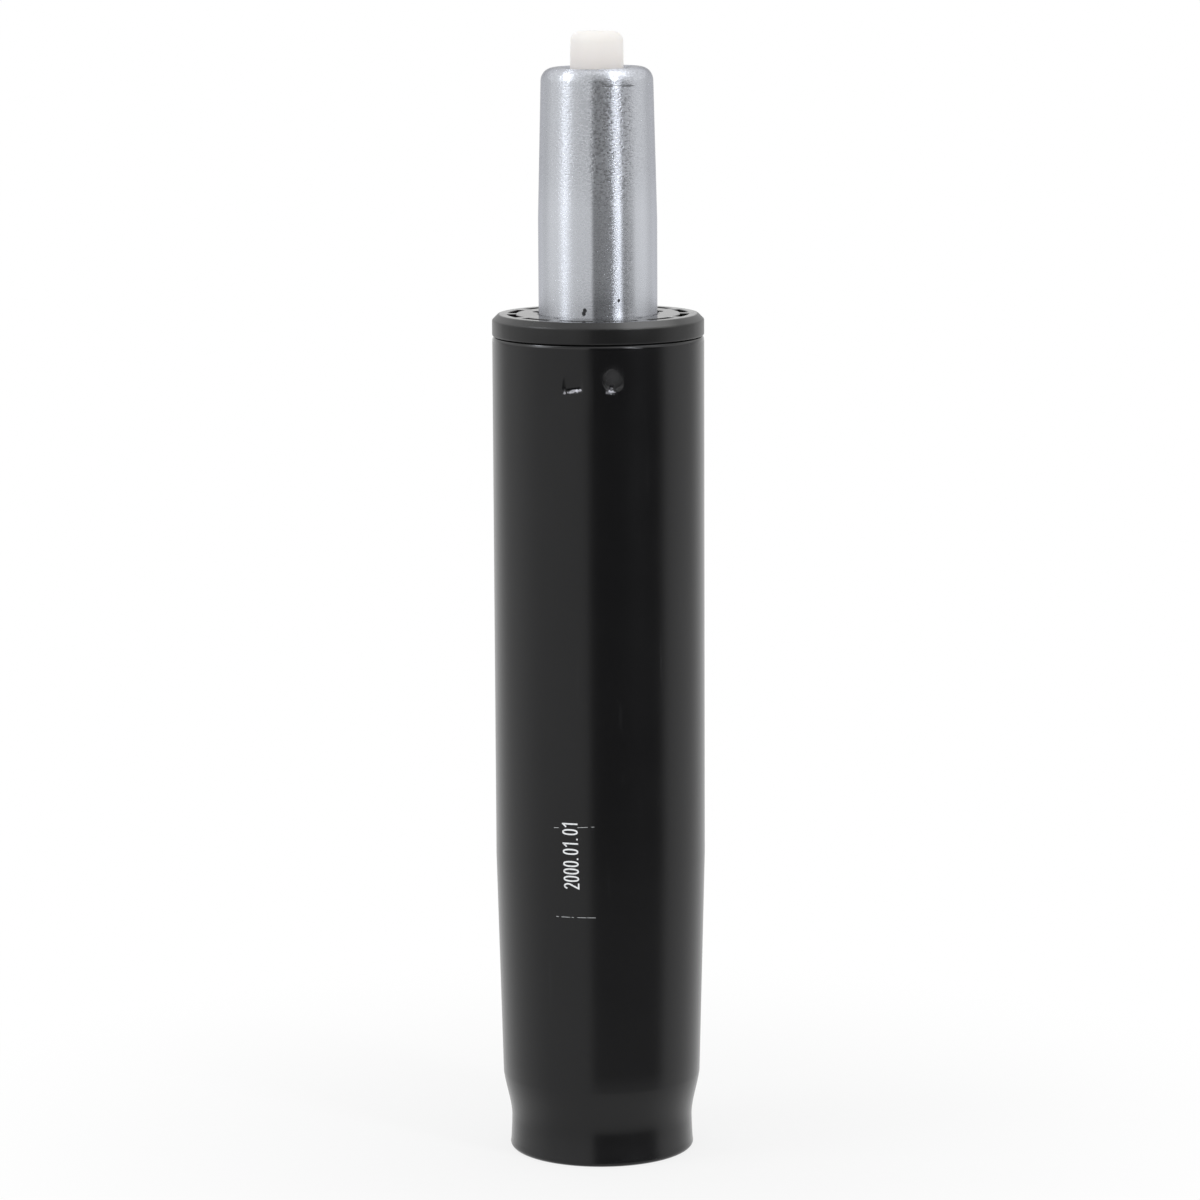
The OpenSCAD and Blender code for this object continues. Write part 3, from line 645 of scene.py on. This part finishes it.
def make_pressure_tube():
    """Column: rows round the rolled foot, up the outside, over the rolled crest, down a slight
    dish to the button's hole, and back down the inside. The crest isn't quite square to the axis:
    it rises by half of one minus the cosine of the angle from its lowest place."""
    turn = wrapped(even_columns(COLUMN_STEPS))
    ones = np.ones_like(turn)
    top_arc_z = COLUMN_TOP - COLUMN_TOP_R
    top_arc_r = COLUMN_R - (top_arc_z - SEAT_CONE_FOOT) * CONE_SLOPE - COLUMN_TOP_R
    foot_mid = (COLUMN_R - COLUMN_FOOT_R, COLUMN_FOOT + COLUMN_FOOT_R)
    crease_reach = 3 * CREASE_W
    heights = rows_between(foot_mid[1], (
        (SEAT_CONE_FOOT, 21),
        (CREASE_Z - crease_reach, 17),
        (CREASE_Z + crease_reach, 12),
        (top_arc_z, 3),
    ))[:-1, None]
    inner_r = COLUMN_R - COLUMN_WALL
    lip_r = inner_r - COLUMN_LIP_W
    hole_r = BUTTON_R + BUTTON_GAP
    edge_mid = (hole_r + HOLE_EDGE_R, COLUMN_TOP - TOP_DISH - HOLE_EDGE_R)
    wall_top = (top_arc_r + COLUMN_TOP_R - COLUMN_WALL, top_arc_z)
    dish_t = np.linspace(0, 1, 6)[1:]
    dish = np.column_stack([
        top_arc_r + (edge_mid[0] - top_arc_r) * dish_t,
        COLUMN_TOP - TOP_DISH * dish_t**2,
    ])
    foot = np.concatenate([[(lip_r, COLUMN_FOOT)], arc(foot_mid, COLUMN_FOOT_R, -90, 0, 9)])
    rest = np.concatenate([
        arc((top_arc_r, top_arc_z), COLUMN_TOP_R, 0, 90, CREST_ROWS),
        dish,
        arc(edge_mid, HOLE_EDGE_R, 90, 180, 6)[1:],
        [(hole_r, COLUMN_TOP - COLUMN_WALL)],
        arc((top_arc_r, top_arc_z), COLUMN_TOP_R - COLUMN_WALL, 90, 0, 7),
        run(wall_top, (inner_r, SEAT_CONE_FOOT), 4)[1:],
        arc(foot_mid, COLUMN_FOOT_R - COLUMN_WALL, 0, -90, 6),
        [(lip_r, COLUMN_FOOT + COLUMN_WALL)],
    ])
    share = np.zeros(len(rest))
    share[:CREST_ROWS] = np.sin(np.radians(np.linspace(0, 90, CREST_ROWS)))
    share[CREST_ROWS:CREST_ROWS + len(dish)] = 1 - dish_t**2
    rise = CREST_RISE * (1 - np.cos(turn - CREST_LOW)) / 2
    r = np.concatenate([foot[:, :1] * ones, column_radius(heights, turn), rest[:, :1] * ones])
    z = np.concatenate([foot[:, 1:] * ones, heights * ones, rest[:, 1:] + share[:, None] * rise])
    return skin("column_tube", r, z, turn)


def make_release_button():
    """Button: an outline turned round the axis, from the socket's roof down its wall, out under
    the flange, up the side with a little draft, round the top edge and in over the flat top."""
    flange_top = FLANGE_FOOT + BUTTON_FLANGE_T
    socket_roof = FLANGE_FOOT + SOCKET_DEPTH
    neck = (BUTTON_R, flange_top)
    top_r = BUTTON_R - BUTTON_DRAFT - BUTTON_EDGE_R
    edge_z = BUTTON_TOP - BUTTON_EDGE_R
    top = np.linspace(top_r, POLE_R, 6)
    outline = np.concatenate([
        [(POLE_R, socket_roof), (SOCKET_R, socket_roof), (SOCKET_R, FLANGE_FOOT)],
        bend((SOCKET_R, FLANGE_FOOT), (FLANGE_R, FLANGE_FOOT), (FLANGE_R, flange_top), FLANGE_SOFT, 4),
        bend((FLANGE_R, FLANGE_FOOT), (FLANGE_R, flange_top), neck, FLANGE_SOFT, 4),
        run(neck, (top_r + BUTTON_EDGE_R, edge_z), 8)[:-1],
        arc((top_r, edge_z), BUTTON_EDGE_R, 0, 90, 13)[:-1],
        np.column_stack([top, np.full_like(top, BUTTON_TOP)]),
    ])
    turn = even_columns(BUTTON_STEPS)
    ones = np.ones_like(turn)
    return skin("release_cap", outline[:, :1] * ones, outline[:, 1:] * ones, turn, poles=True)


def stroke(path, width, closed=False):
    """One printed stroke on the tube: a flat rectangle carried along a path of (along the turn,
    up) points, with the offset at right angles to the path. Gives points and faces."""
    if closed:
        ahead = np.roll(path, -1, axis=0) - np.roll(path, 1, axis=0)
    else:
        ahead = np.gradient(path, axis=0)
    ahead = ahead / np.linalg.norm(ahead, axis=1, keepdims=True)
    side = np.column_stack([ahead[:, 1], -ahead[:, 0]]) * width / 2
    shank = tube_radius(path[:, 1])
    rails = []
    for sign, rise in ((-1, -PRINT_SINK), (1, -PRINT_SINK), (1, PRINT_RISE), (-1, PRINT_RISE)):
        edge = path + sign * side
        angle = PRINT_TURN + edge[:, 0] / TUBE_R
        r = shank + rise
        rails.append(np.column_stack([r * np.cos(angle), r * np.sin(angle), edge[:, 1]]))
    count = len(path)
    points = np.stack(rails, axis=1).reshape(-1, 3)
    here = np.arange(count * 4).reshape(count, 4)
    there = np.roll(here, -1, axis=0)
    if not closed:
        here, there = here[:-1], there[:-1]
    beside, beyond = np.roll(here, -1, axis=1), np.roll(there, -1, axis=1)
    faces = np.stack([here, there, beyond, beside], axis=-1).reshape(-1, 4).tolist()
    if not closed:
        last = 4 * count
        faces += [[0, 1, 2, 3], [last - 1, last - 2, last - 3, last - 4]]
    return points, faces


def digit_paths(digit):
    """Strokes of one digit in a box of the digit's width and height, each a path and whether it
    closes. 0 is a ring, a sine and cosine raised to powers under 1. 1 is a stem and a flag. 2 is
    an arc that runs on into a straight slope, and a foot. The point is a dot."""
    t = np.linspace(0, 1, STROKE_POINTS)
    w, h, half = DIGIT_W, PRINT_HEIGHT, PRINT_STROKE / 2
    wide, tall = w / 2 - half, h / 2 - half
    if digit == "0":
        a = np.linspace(0, FULL_TURN, RING_POINTS, endpoint=False)
        x = w / 2 + wide * np.sign(np.cos(a)) * np.abs(np.cos(a)) ** 0.8
        y = h / 2 + tall * np.sign(np.sin(a)) * np.abs(np.sin(a)) ** 0.9
        return [(np.column_stack([x, y]), True)]
    if digit == "1":
        stem = np.column_stack([np.full_like(t, 0.62 * w), h * t])
        flag = np.column_stack([0.1 * w + 0.5 * w * t, h * (0.74 + 0.2 * t)])
        return [(stem, False), (flag, False)]
    if digit == "2":
        a = np.radians(165 - 205 * t)
        crown = np.column_stack([w / 2 + wide * np.cos(a), 0.72 * h + (0.28 * h - half) * np.sin(a)])
        slope = crown[-1] + (np.array([half, half]) - crown[-1]) * t[1:, None]
        foot = np.column_stack([w * t, np.full_like(t, half)])
        return [(np.concatenate([crown, slope]), False), (foot, False)]
    return [(np.column_stack([np.full_like(t, half), 1.3 * half + half * (2 * t - 1)]), False)]


def make_date_print():
    """The date: each digit's strokes, turned to read upwards, one pitch after the other."""
    parts = []
    up = PRINT_FOOT
    for digit in PRINT_TEXT:
        for path, closed in digit_paths(digit):
            lean = PRINT_LEAN * (up + path[:, 0] - PRINT_FOOT)
            placed = np.column_stack([-path[:, 1] - lean, up + path[:, 0]])
            parts.append(stroke(placed, PRINT_STROKE, closed))
        up += DOT_PITCH if digit == "." else DIGIT_PITCH
    return join("date_print", parts)


def make_print_ticks():
    """Two broken hairlines across the print: each dash is one straight stroke along the turn."""
    parts = []
    for height, lean, dashes in TICK_LINES:
        for start, end in dashes:
            turn = FRONT + np.radians(np.linspace(start, end, TICK_POINTS))
            along = TUBE_R * (turn - PRINT_TURN)
            parts.append(stroke(np.column_stack([along, height + lean * along]), TICK_W))
    return join("print_ticks", parts)


def join(name, parts):
    """Several point and face lists as one object."""
    starts = np.cumsum([0] + [len(points) for points, _ in parts])
    points = np.concatenate([points for points, _ in parts])
    faces = [[i + int(start) for i in face] for start, (_, own) in zip(starts, parts) for face in own]
    return put_mesh(name, points, faces, sharp_deg=40)


def new_finish(name):
    """An empty material and the wire that adds its nodes."""
    material = bpy.data.materials.new(name)
    material.use_nodes = True
    material.node_tree.nodes.clear()
    return material, Wire(material.node_tree)


def surface(wire, sockets):
    """The shader that ends a material."""
    shader = wire.add("ShaderNodeBsdfPrincipled", {}, sockets)
    wire.add("ShaderNodeOutputMaterial", {}, {"Surface": shader})


def place_on(wire, scale=(1, 1, 1)):
    """Object coordinates, stretched."""
    place = wire.add("ShaderNodeTexCoord", {}, {}, "Object")
    return wire.add("ShaderNodeMapping", {}, {"Vector": place, "Scale": scale})


def noise(wire, place, scale, detail=2.0, rough=0.5):
    """Noise of about 0 to 1 with a count of waves per unit of place."""
    sockets = {"Vector": place, "Scale": scale, "Detail": detail, "Roughness": rough}
    return wire.add("ShaderNodeTexNoise", {}, sockets, "Fac")


def step(wire, value, low, high):
    """Smooth step of a value from 0 at low to 1 at high."""
    sockets = {"Value": value, "From Min": low, "From Max": high}
    return wire.add("ShaderNodeMapRange", {"interpolation_type": "SMOOTHSTEP"}, sockets, "Result")


def turn_step(wire, angle, low_deg, high_deg):
    """Smooth step of an angle between two angles in degrees."""
    return step(wire, angle, math.radians(low_deg), math.radians(high_deg))


def tint(wire, factor, first, second):
    """A colour between two colours."""
    settings = {"data_type": "RGBA", "clamp_factor": True}
    node = wire.add("ShaderNodeMix", settings, {"Factor": factor}, "Result").socket.node
    for index, colour in ((6, first), (7, second)):
        if isinstance(colour, Wire):
            wire.tree.links.new(colour.socket, node.inputs[index])
        else:
            node.inputs[index].default_value = (*colour, 1)
    return Wire(wire.tree, node.outputs[2])


def bump(wire, height, strength, distance):
    """A normal that leans with a height of 0 to 1 over a distance."""
    sockets = {"Height": height, "Strength": strength, "Distance": distance}
    return wire.add("ShaderNodeBump", {}, sockets, "Normal")


def split_place(wire):
    """Distance from the axis, angle from the front, and height, of a point on the piece."""
    x = wire.add("ShaderNodeSeparateXYZ", {}, {"Vector": place_on(wire)}, "X")
    y, z = x.out("Y"), x.out("Z")
    return wire.math("SQRT", x * x + y * y), wire.math("ARCTAN2", x, 0 - y), z


def spot(wire, turn, height, middle, size, ragged, core=0.75):
    """1 inside a spot of the surface and 0 outside it. Middle and size are an angle in degrees and
    a height in millimetres, a noise makes the border ragged, and the core is where the fall starts."""
    across = (turn - math.radians(middle[0])) / math.radians(size[0])
    up = (height - middle[1] * MM) / (size[1] * MM)
    away = wire.math("SQRT", across * across + up * up) + ragged
    return 1 - step(wire, away, core, 1.1)


def spots(wire, turn, height, places, ragged):
    """The most that any of several spots gives."""
    most = 0
    for middle, size in places:
        most = wire.math("MAXIMUM", most, spot(wire, turn, height, middle, size, ragged))
    return most


def black_coat():
    """Satin black stove enamel: fine orange peel, cloudy gloss, long rub marks, two scuffs, painted
    light that makes it paler at the foot, a polished lip, a painted reflection that lightens the round
    stake and bare steel on the ledges."""
    material, wire = new_finish("black_coat")
    place = place_on(wire)
    _, turn, height = split_place(wire)
    peel = noise(wire, place, 850.0, 2.0)
    grain = noise(wire, place, 5200.0, 1.0)
    cloud = noise(wire, place, 60.0, 3.0)
    streaks = noise(wire, place_on(wire, (700, 700, 22)), 1.0, 2.0)
    ragged = 3.0 * (noise(wire, place, 2600.0) - 0.5)
    scuffs = spots(wire, turn, height, SCUFFS, ragged)
    rub = wire.math("MAXIMUM", step(wire, streaks, 0.7, 0.82), 0.5 * scuffs)
    bare = spots(wire, turn, height, BARE_SPOTS, ragged)
    # A painted reflection lightens the front round stake.
    stake_sheen = spot(wire, turn, height, STAKE_SHEEN_MIDDLE, STAKE_SHEEN_SIZE, 0.2 * ragged, 0.0)
    # Painted light makes the coat paler near the foot.
    painted_light = (1 - step(wire, height, FOOT_LIGHT_FULL_Z, FOOT_LIGHT_END_Z)) * (0.5 + cloud)
    lip = step(wire, height, TUBE_TOP - POLISH_START, TUBE_TOP - POLISH_FULL)
    colour = tint(wire, cloud, (0.0038, 0.0038, 0.0043), (0.0056, 0.0056, 0.0061))
    # Rub marks lighten the coat, and so do painted light near the foot and the painted reflection in the
    # round stake.
    colour = tint(wire, 0.3 * rub + 0.75 * stake_sheen + 0.2 * painted_light, colour, (0.03, 0.03, 0.032))
    surface(wire, {
        "Base Color": tint(wire, bare, colour, (0.44, 0.44, 0.47)),
        "Metallic": bare,
        "Roughness": 0.19 + 0.05 * cloud + 0.04 * rub + 0.03 * grain + 0.25 * bare - 0.1 * lip,
        "Normal": bump(wire, peel + 0.25 * grain, 0.12, 0.03 * MM),
    })
    return material


def bush_plastic():
    """Moulded black plastic: smooth on the flat top, a fine spark finish outside, and painted light
    outside, mostly on the bevel and strongest to the right of the front."""
    material, wire = new_finish("black_moulding")
    place = place_on(wire)
    radius, turn, height = split_place(wire)
    spark = noise(wire, place, 2600.0, 3.0, 0.6)
    patch = noise(wire, place, 140.0, 3.0)
    outer = step(wire, radius, BEVEL_IN_R - RIM_FADE, BEVEL_IN_R)
    bevel = outer * step(wire, height, COLLAR_TOP - BEVEL_LIGHT_START, COLLAR_TOP - BEVEL_LIGHT_FULL)
    right = turn_step(wire, turn, 8, 18) * (1 - turn_step(wire, turn, 38, 52))
    # Painted light: a little on the bevel all round, more to the right of the front, most on the bevel
    # there.
    painted_light = (0.12 * bevel + right * (0.04 + 0.88 * bevel)) * (0.5 + patch)
    colour = tint(wire, patch, (0.0045, 0.0045, 0.0048), (0.0080, 0.0078, 0.0078))
    surface(wire, {
        # The painted light greys the black plastic.
        "Base Color": tint(wire, painted_light, colour, (0.068, 0.068, 0.066)),
        "Roughness": 0.09 + 0.19 * outer + 0.06 * patch + 0.04 * spark,
        "Normal": bump(wire, (0.4 + 0.6 * outer) * spark, 0.12, 0.02 * MM),
    })
    return material


def column_steel():
    """Ground steel: fine lines round the column, chatter and a sparkling grain that are stronger on
    the seat cone, grease marks near its foot and painted shade in the crease near its top."""
    material, wire = new_finish("column_steel")
    _, turn, height = split_place(wire)
    lines = noise(wire, place_on(wire, (60, 60, 5200)), 1.0, 3.0, 0.6)
    chatter = noise(wire, place_on(wire, (350, 350, 2600)), 1.0, 1.0)
    sparkle = noise(wire, place_on(wire, (1500, 1500, 2600)), 1.0, 1.0)
    handled = noise(wire, place_on(wire), 90.0, 3.0)
    cone = step(wire, height, SEAT_CONE_FOOT, SEAT_CONE_FOOT + GRIND_FADE)
    dull = (0.32 + 0.68 * cone) * step(wire, sparkle, 0.34, 0.66)
    facets = (0.1 + 0.9 * cone) * (0.3 * chatter + sparkle)
    ragged = 1.1 * (noise(wire, place_on(wire), 1500.0) - 0.5)
    crease = [((middle, CREASE_Z / MM), (half, CREASE_SHADE_HALF_MM)) for middle, half in CREASE_SHADE]
    grease = spots(wire, turn, height, GREASE_MARKS, ragged)
    # The crease's dark line is painted shade; the grease marks are real stains.
    grease_and_shade = wire.math("MAXIMUM", grease, 0.75 * spots(wire, turn, height, crease, 1.4 * ragged))
    steel = tint(wire, lines, (0.655, 0.675, 0.72), (0.69, 0.71, 0.755))
    steel = tint(wire, 0.09 * cone, steel, (0.02, 0.02, 0.022))
    surface(wire, {
        # Grease and the painted crease shade darken the steel and take away its metal.
        "Base Color": tint(wire, 0.95 * grease_and_shade, steel, (0.01, 0.01, 0.011)),
        "Metallic": 1 - 0.9 * grease_and_shade,
        "Roughness": 0.205 - 0.025 * cone + 0.05 * lines + 0.04 * handled + 0.15 * dull,
        "Specular Tint": (0.6, 0.6, 0.62, 1),
        "Anisotropic": 1.0,
        "Anisotropic Rotation": 0.25,
        "Normal": bump(wire, facets + 0.03 * lines, 1.0, 0.055 * MM),
    })
    return material


def white_nylon():
    """Natural nylon: milky, faintly warm, a little light inside, with painted shade that greys it towards
    the hole it works in.
    """
    material, wire = new_finish("white_nylon")
    place = place_on(wire)
    _, _, height = split_place(wire)
    milk = noise(wire, place, 260.0, 2.0)
    nylon_colour = tint(wire, milk, (0.945, 0.90, 0.865), (0.97, 0.93, 0.895))
    # Painted shade greys the button towards the column's hole.
    base_shade = 1 - step(wire, height, COLUMN_TOP - 1 * MM, BUTTON_TOP - 2 * MM)
    grain = noise(wire, place, 2600.0, 2.0)
    surface(wire, {
        "Base Color": tint(wire, base_shade, nylon_colour, (0.85, 0.81, 0.775)),
        "Roughness": 0.48 + 0.1 * grain,
        "Specular IOR Level": 0.35,
        "Subsurface Weight": 0.35,
        "Subsurface Radius": (0.9, 0.85, 0.75),
        "Subsurface Scale": 1.5 * MM,
        "Normal": bump(wire, grain, 0.12, 0.02 * MM),
    })
    return material


def print_ink():
    """White printing ink, thin in places."""
    material, wire = new_finish("print_ink")
    thin = noise(wire, place_on(wire), 1600.0, 3.0)
    surface(wire, {
        "Base Color": tint(wire, step(wire, thin, 0.25, 0.5), (0.60, 0.61, 0.62), (0.92, 0.94, 0.96)),
        "Roughness": 0.5 + 0.1 * thin,
        "Normal": bump(wire, thin, 0.1, 0.01 * MM),
    })
    return material


def turned_metal(name, dark, light, rough, fine):
    """Lathe turned metal: lines of equal radius and height, with dull handled patches."""
    material, wire = new_finish(name)
    radius, _, height = split_place(wire)
    line_place = wire.add("ShaderNodeCombineXYZ", {}, {"X": radius * fine, "Y": height * fine})
    lines = noise(wire, line_place, 1.0, 3.0, 0.6)
    patch = noise(wire, place_on(wire), 160.0, 3.0)
    surface(wire, {
        "Base Color": tint(wire, 0.6 * lines + 0.4 * patch, dark, light),
        "Metallic": 1.0,
        "Roughness": rough + 0.1 * lines + 0.08 * patch,
        "Normal": bump(wire, lines, 0.25, 0.015 * MM),
    })
    return material


def dull_moulding(name, dark, light, rough, grain_scale):
    """Rubber or plastic from a mould: speckled colour and an even matt grain."""
    material, wire = new_finish(name)
    place = place_on(wire)
    grain = noise(wire, place, grain_scale, 3.0, 0.6)
    patch = noise(wire, place, 120.0, 2.0)
    surface(wire, {
        "Base Color": tint(wire, 0.5 * grain + 0.5 * patch, dark, light),
        "Roughness": rough + 0.12 * patch,
        "Normal": bump(wire, grain, 0.3, 0.03 * MM),
    })
    return material


def make_finishes():
    """One material for each material slot of the record."""
    finishes = {
        "black_coat": black_coat(),
        "black_moulding": bush_plastic(),
        "column_steel": column_steel(),
        "white_nylon": white_nylon(),
    }
    for name, recipe in METALS.items():
        finishes[name] = turned_metal(name, *recipe)
    for name, recipe in MOULDINGS.items():
        finishes[name] = dull_moulding(name, *recipe)
    return finishes


def dress(piece, material):
    """Gives an object one material."""
    piece.data.materials.clear()
    piece.data.materials.append(material)


def stand_in(piece, node, body, slot, finishes):
    """A finished piece takes a node's place on its body, in the slot's finish."""
    dress(piece, finishes[slot])
    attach(piece, body)
    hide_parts(node)


def dress_nodes(finishes):
    """Every node takes the finish of its slot in the record."""
    for row in frame["record"]["subparts"]:
        node = frame["nodes"][row["node"]]
        for holder in node.material_slots:
            holder.material = finishes[row["material_slot"]]
        if not node.material_slots:
            node.data.materials.append(finishes[row["material_slot"]])


def make_floor():
    """Pale floor that turns plain white away from the part and keeps its shadow near it."""
    half = FLOOR_HALF
    corners = np.array([(-half, -half, 0), (half, -half, 0), (half, half, 0), (-half, half, 0)])
    floor = put_mesh("floor", corners, [[0, 1, 2, 3]], sharp_deg=30)
    material, wire = new_finish("floor_white")
    radius, _, _ = split_place(wire)
    rays = wire.add("ShaderNodeLightPath", {}, {}, "Is Camera Ray")
    grain = noise(wire, place_on(wire), 300.0, 2.0)
    pale = tint(wire, grain, (0.80, 0.80, 0.80), (0.84, 0.84, 0.84))
    paper = wire.add("ShaderNodeBsdfDiffuse", {}, {"Color": pale})
    white = wire.add("ShaderNodeEmission", {}, {"Color": (1, 1, 1, 1), "Strength": 1.0})
    lift = 0.8 + 0.2 * step(wire, radius, SHADOW_R, SHADOW_END_R)
    mixed = wire.add("ShaderNodeMixShader", {}, {0: rays * lift, 1: paper, 2: white})
    wire.add("ShaderNodeOutputMaterial", {}, {"Surface": mixed})
    dress(floor, material)
    floor.visible_glossy = False


def bell(wire, angle, middle_deg, width_deg):
    """Bell curve of an angle round a middle: e to the power of minus the squared distance in widths."""
    away = (angle - math.radians(middle_deg)) / math.radians(width_deg)
    return wire.math("POWER", math.e, 0 - away * away)


def direction(azimuth_deg, height_deg):
    """The way from the part to a place at an azimuth and a height."""
    a, h = math.radians(azimuth_deg), math.radians(height_deg)
    return Vector((math.sin(a) * math.cos(h), -math.cos(a) * math.cos(h), math.sin(h)))


def glow(wire, way, azimuth_deg, height_deg, width):
    """A round light in the surround: e to the power of minus the squared distance in widths from a way."""
    ends = {0: way, 1: direction(azimuth_deg, height_deg)}
    away = wire.add("ShaderNodeVectorMath", {"operation": "DISTANCE"}, ends, "Value") / width
    return wire.math("POWER", math.e, 0 - away * away)


def wall_light(wire, around, z):
    """The surround's walls in reflections: pale low down and nearly black on the front's right,
    above that bright but for the front's right, and an even light overhead."""
    aside = wire.math("ABSOLUTE", around)
    right = turn_step(wire, around, -13, -8)
    front_right = right * (1 - turn_step(wire, around, 66, 82))
    right_above = right * (1 - turn_step(wire, around, 48, 70))
    dim = front_right * step(wire, z, -0.52, -0.18)
    flank = turn_step(wire, aside, 60, 105)
    back = turn_step(wire, aside, 95, 140)
    edges = 1 - 0.4 * bell(wire, aside, 121, 16) * step(wire, z, -0.3, 0.0)
    low = (0.58 + 0.18 * flank + 0.22 * back) * edges * (1 - dim) + 0.04 * dim
    above = 1.25 - 1.05 * right_above - 0.5 * back
    overhead = 0.75 + 0.35 * back
    high = step(wire, z, 0.05 * front_right - 0.04, 0.26 - 0.06 * front_right)
    top = step(wire, z, 0.22 + 0.2 * front_right, 0.48 + 0.14 * front_right)
    return low * (1 - high) + (above * (1 - top) + overhead * top) * high


def strip_light(wire, way, around, z):
    """The surround's lights in reflections: a tall strip on each side that fades upwards, a broad
    glow above each strip, and the round lights."""
    left = bell(wire, around, -70, 10.5) * step(wire, z, 0.08, 0.32)
    left = left * (1 - 0.5 * step(wire, z, 0.5, 0.75))
    right = bell(wire, around, 42.6, 5.4) * step(wire, z, -0.01, 0.2)
    right = right * (1 - 0.9 * step(wire, z, 0.16, 0.36)) * (1 - step(wire, z, 0.75, 0.9))
    broad = bell(wire, around, -84, 20) + 0.7 * bell(wire, around, 45, 30)
    upper = step(wire, z, 0.34, 0.54) * (1 - step(wire, z, 0.76, 0.88))
    light = 2.5 * left + 7.0 * right + broad * upper
    for azimuth_deg, height_deg, width, strength in ROUND_LIGHTS:
        light = light + strength * glow(wire, way, azimuth_deg, height_deg, width)
    return light


def make_world():
    """Studio surround. Seen straight on it is white, and it gives an even soft light. Reflections
    show its walls and lights, which are faintly blue."""
    world = bpy.data.worlds.new("studio")
    bpy.context.scene.world = world
    world.use_nodes = True
    world.cycles.sampling_method = "NONE"
    world.node_tree.nodes.clear()
    wire = Wire(world.node_tree)
    way = wire.add("ShaderNodeTexCoord", {}, {}, "Generated")
    x = wire.add("ShaderNodeSeparateXYZ", {}, {"Vector": way}, "X")
    y, z = x.out("Y"), x.out("Z")
    around = wire.math("ARCTAN2", x, 0 - y)
    strips = strip_light(wire, way, around, z)
    seen = wall_light(wire, around, z) + strips
    camera = wire.add("ShaderNodeLightPath", {}, {}, "Is Camera Ray")
    glossy = camera.out("Is Glossy Ray")
    straight = wire.math("MAXIMUM", camera, camera.out("Is Transmission Ray"))
    level = straight + (1 - straight) * (glossy * seen + (1 - glossy) * 0.75)
    shade = tint(wire, glossy * 0.35 * strips, (1, 1, 1), (0.92, 0.945, 1.0))
    sky = wire.add("ShaderNodeBackground", {}, {"Color": shade, "Strength": level})
    wire.add("ShaderNodeOutputWorld", {}, {"Surface": sky})


def make_lamp(name, azimuth_deg, height_deg, reach, size, power, colour):
    """A soft rectangular lamp that faces the part and that reflections don't show."""
    lamp = bpy.data.lights.new(name, "AREA")
    lamp.shape = "RECTANGLE"
    lamp.size, lamp.size_y = size
    lamp.energy = power
    lamp.color = colour
    light = bpy.data.objects.new(name, lamp)
    bpy.context.scene.collection.objects.link(light)
    way = direction(azimuth_deg, height_deg)
    light.location = Vector((0, 0, LAMP_AIM_Z)) + reach * way
    light.rotation_euler = way.to_track_quat("Z", "Y").to_euler()
    light.visible_glossy = False


def make_lamps():
    """A broad lamp high on the left, a narrower one high on the right, and a soft one overhead."""
    make_lamp("left_softbox", -69, 34, 1.3, (0.5, 0.6), 2.7, (0.97, 0.98, 1.0))
    make_lamp("right_strip", 44, 34, 1.3, (0.16, 0.6), 2.7, (1.0, 1.0, 1.0))
    make_lamp("top_softbox", 180, 75, 1.4, (0.9, 0.9), 1.0, (1.0, 1.0, 1.0))


make_camera()
finishes = make_finishes()
dress_nodes(finishes)
stand_in(make_outer_tube(), "outer_tube", "stand", "black_coat", finishes)
stand_in(make_guide_bush(), "guide_bush", "stand", "black_moulding", finishes)
stand_in(make_pressure_tube(), "pressure_tube", "column", "column_steel", finishes)
stand_in(make_release_button(), "release_button", "release", "white_nylon", finishes)
ink = print_ink()
for printed in (make_date_print(), make_print_ticks()):
    dress(printed, ink)
    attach(printed, "stand")
make_floor()
make_world()
make_lamps()
bpy.context.scene.view_settings.view_transform = "Standard"
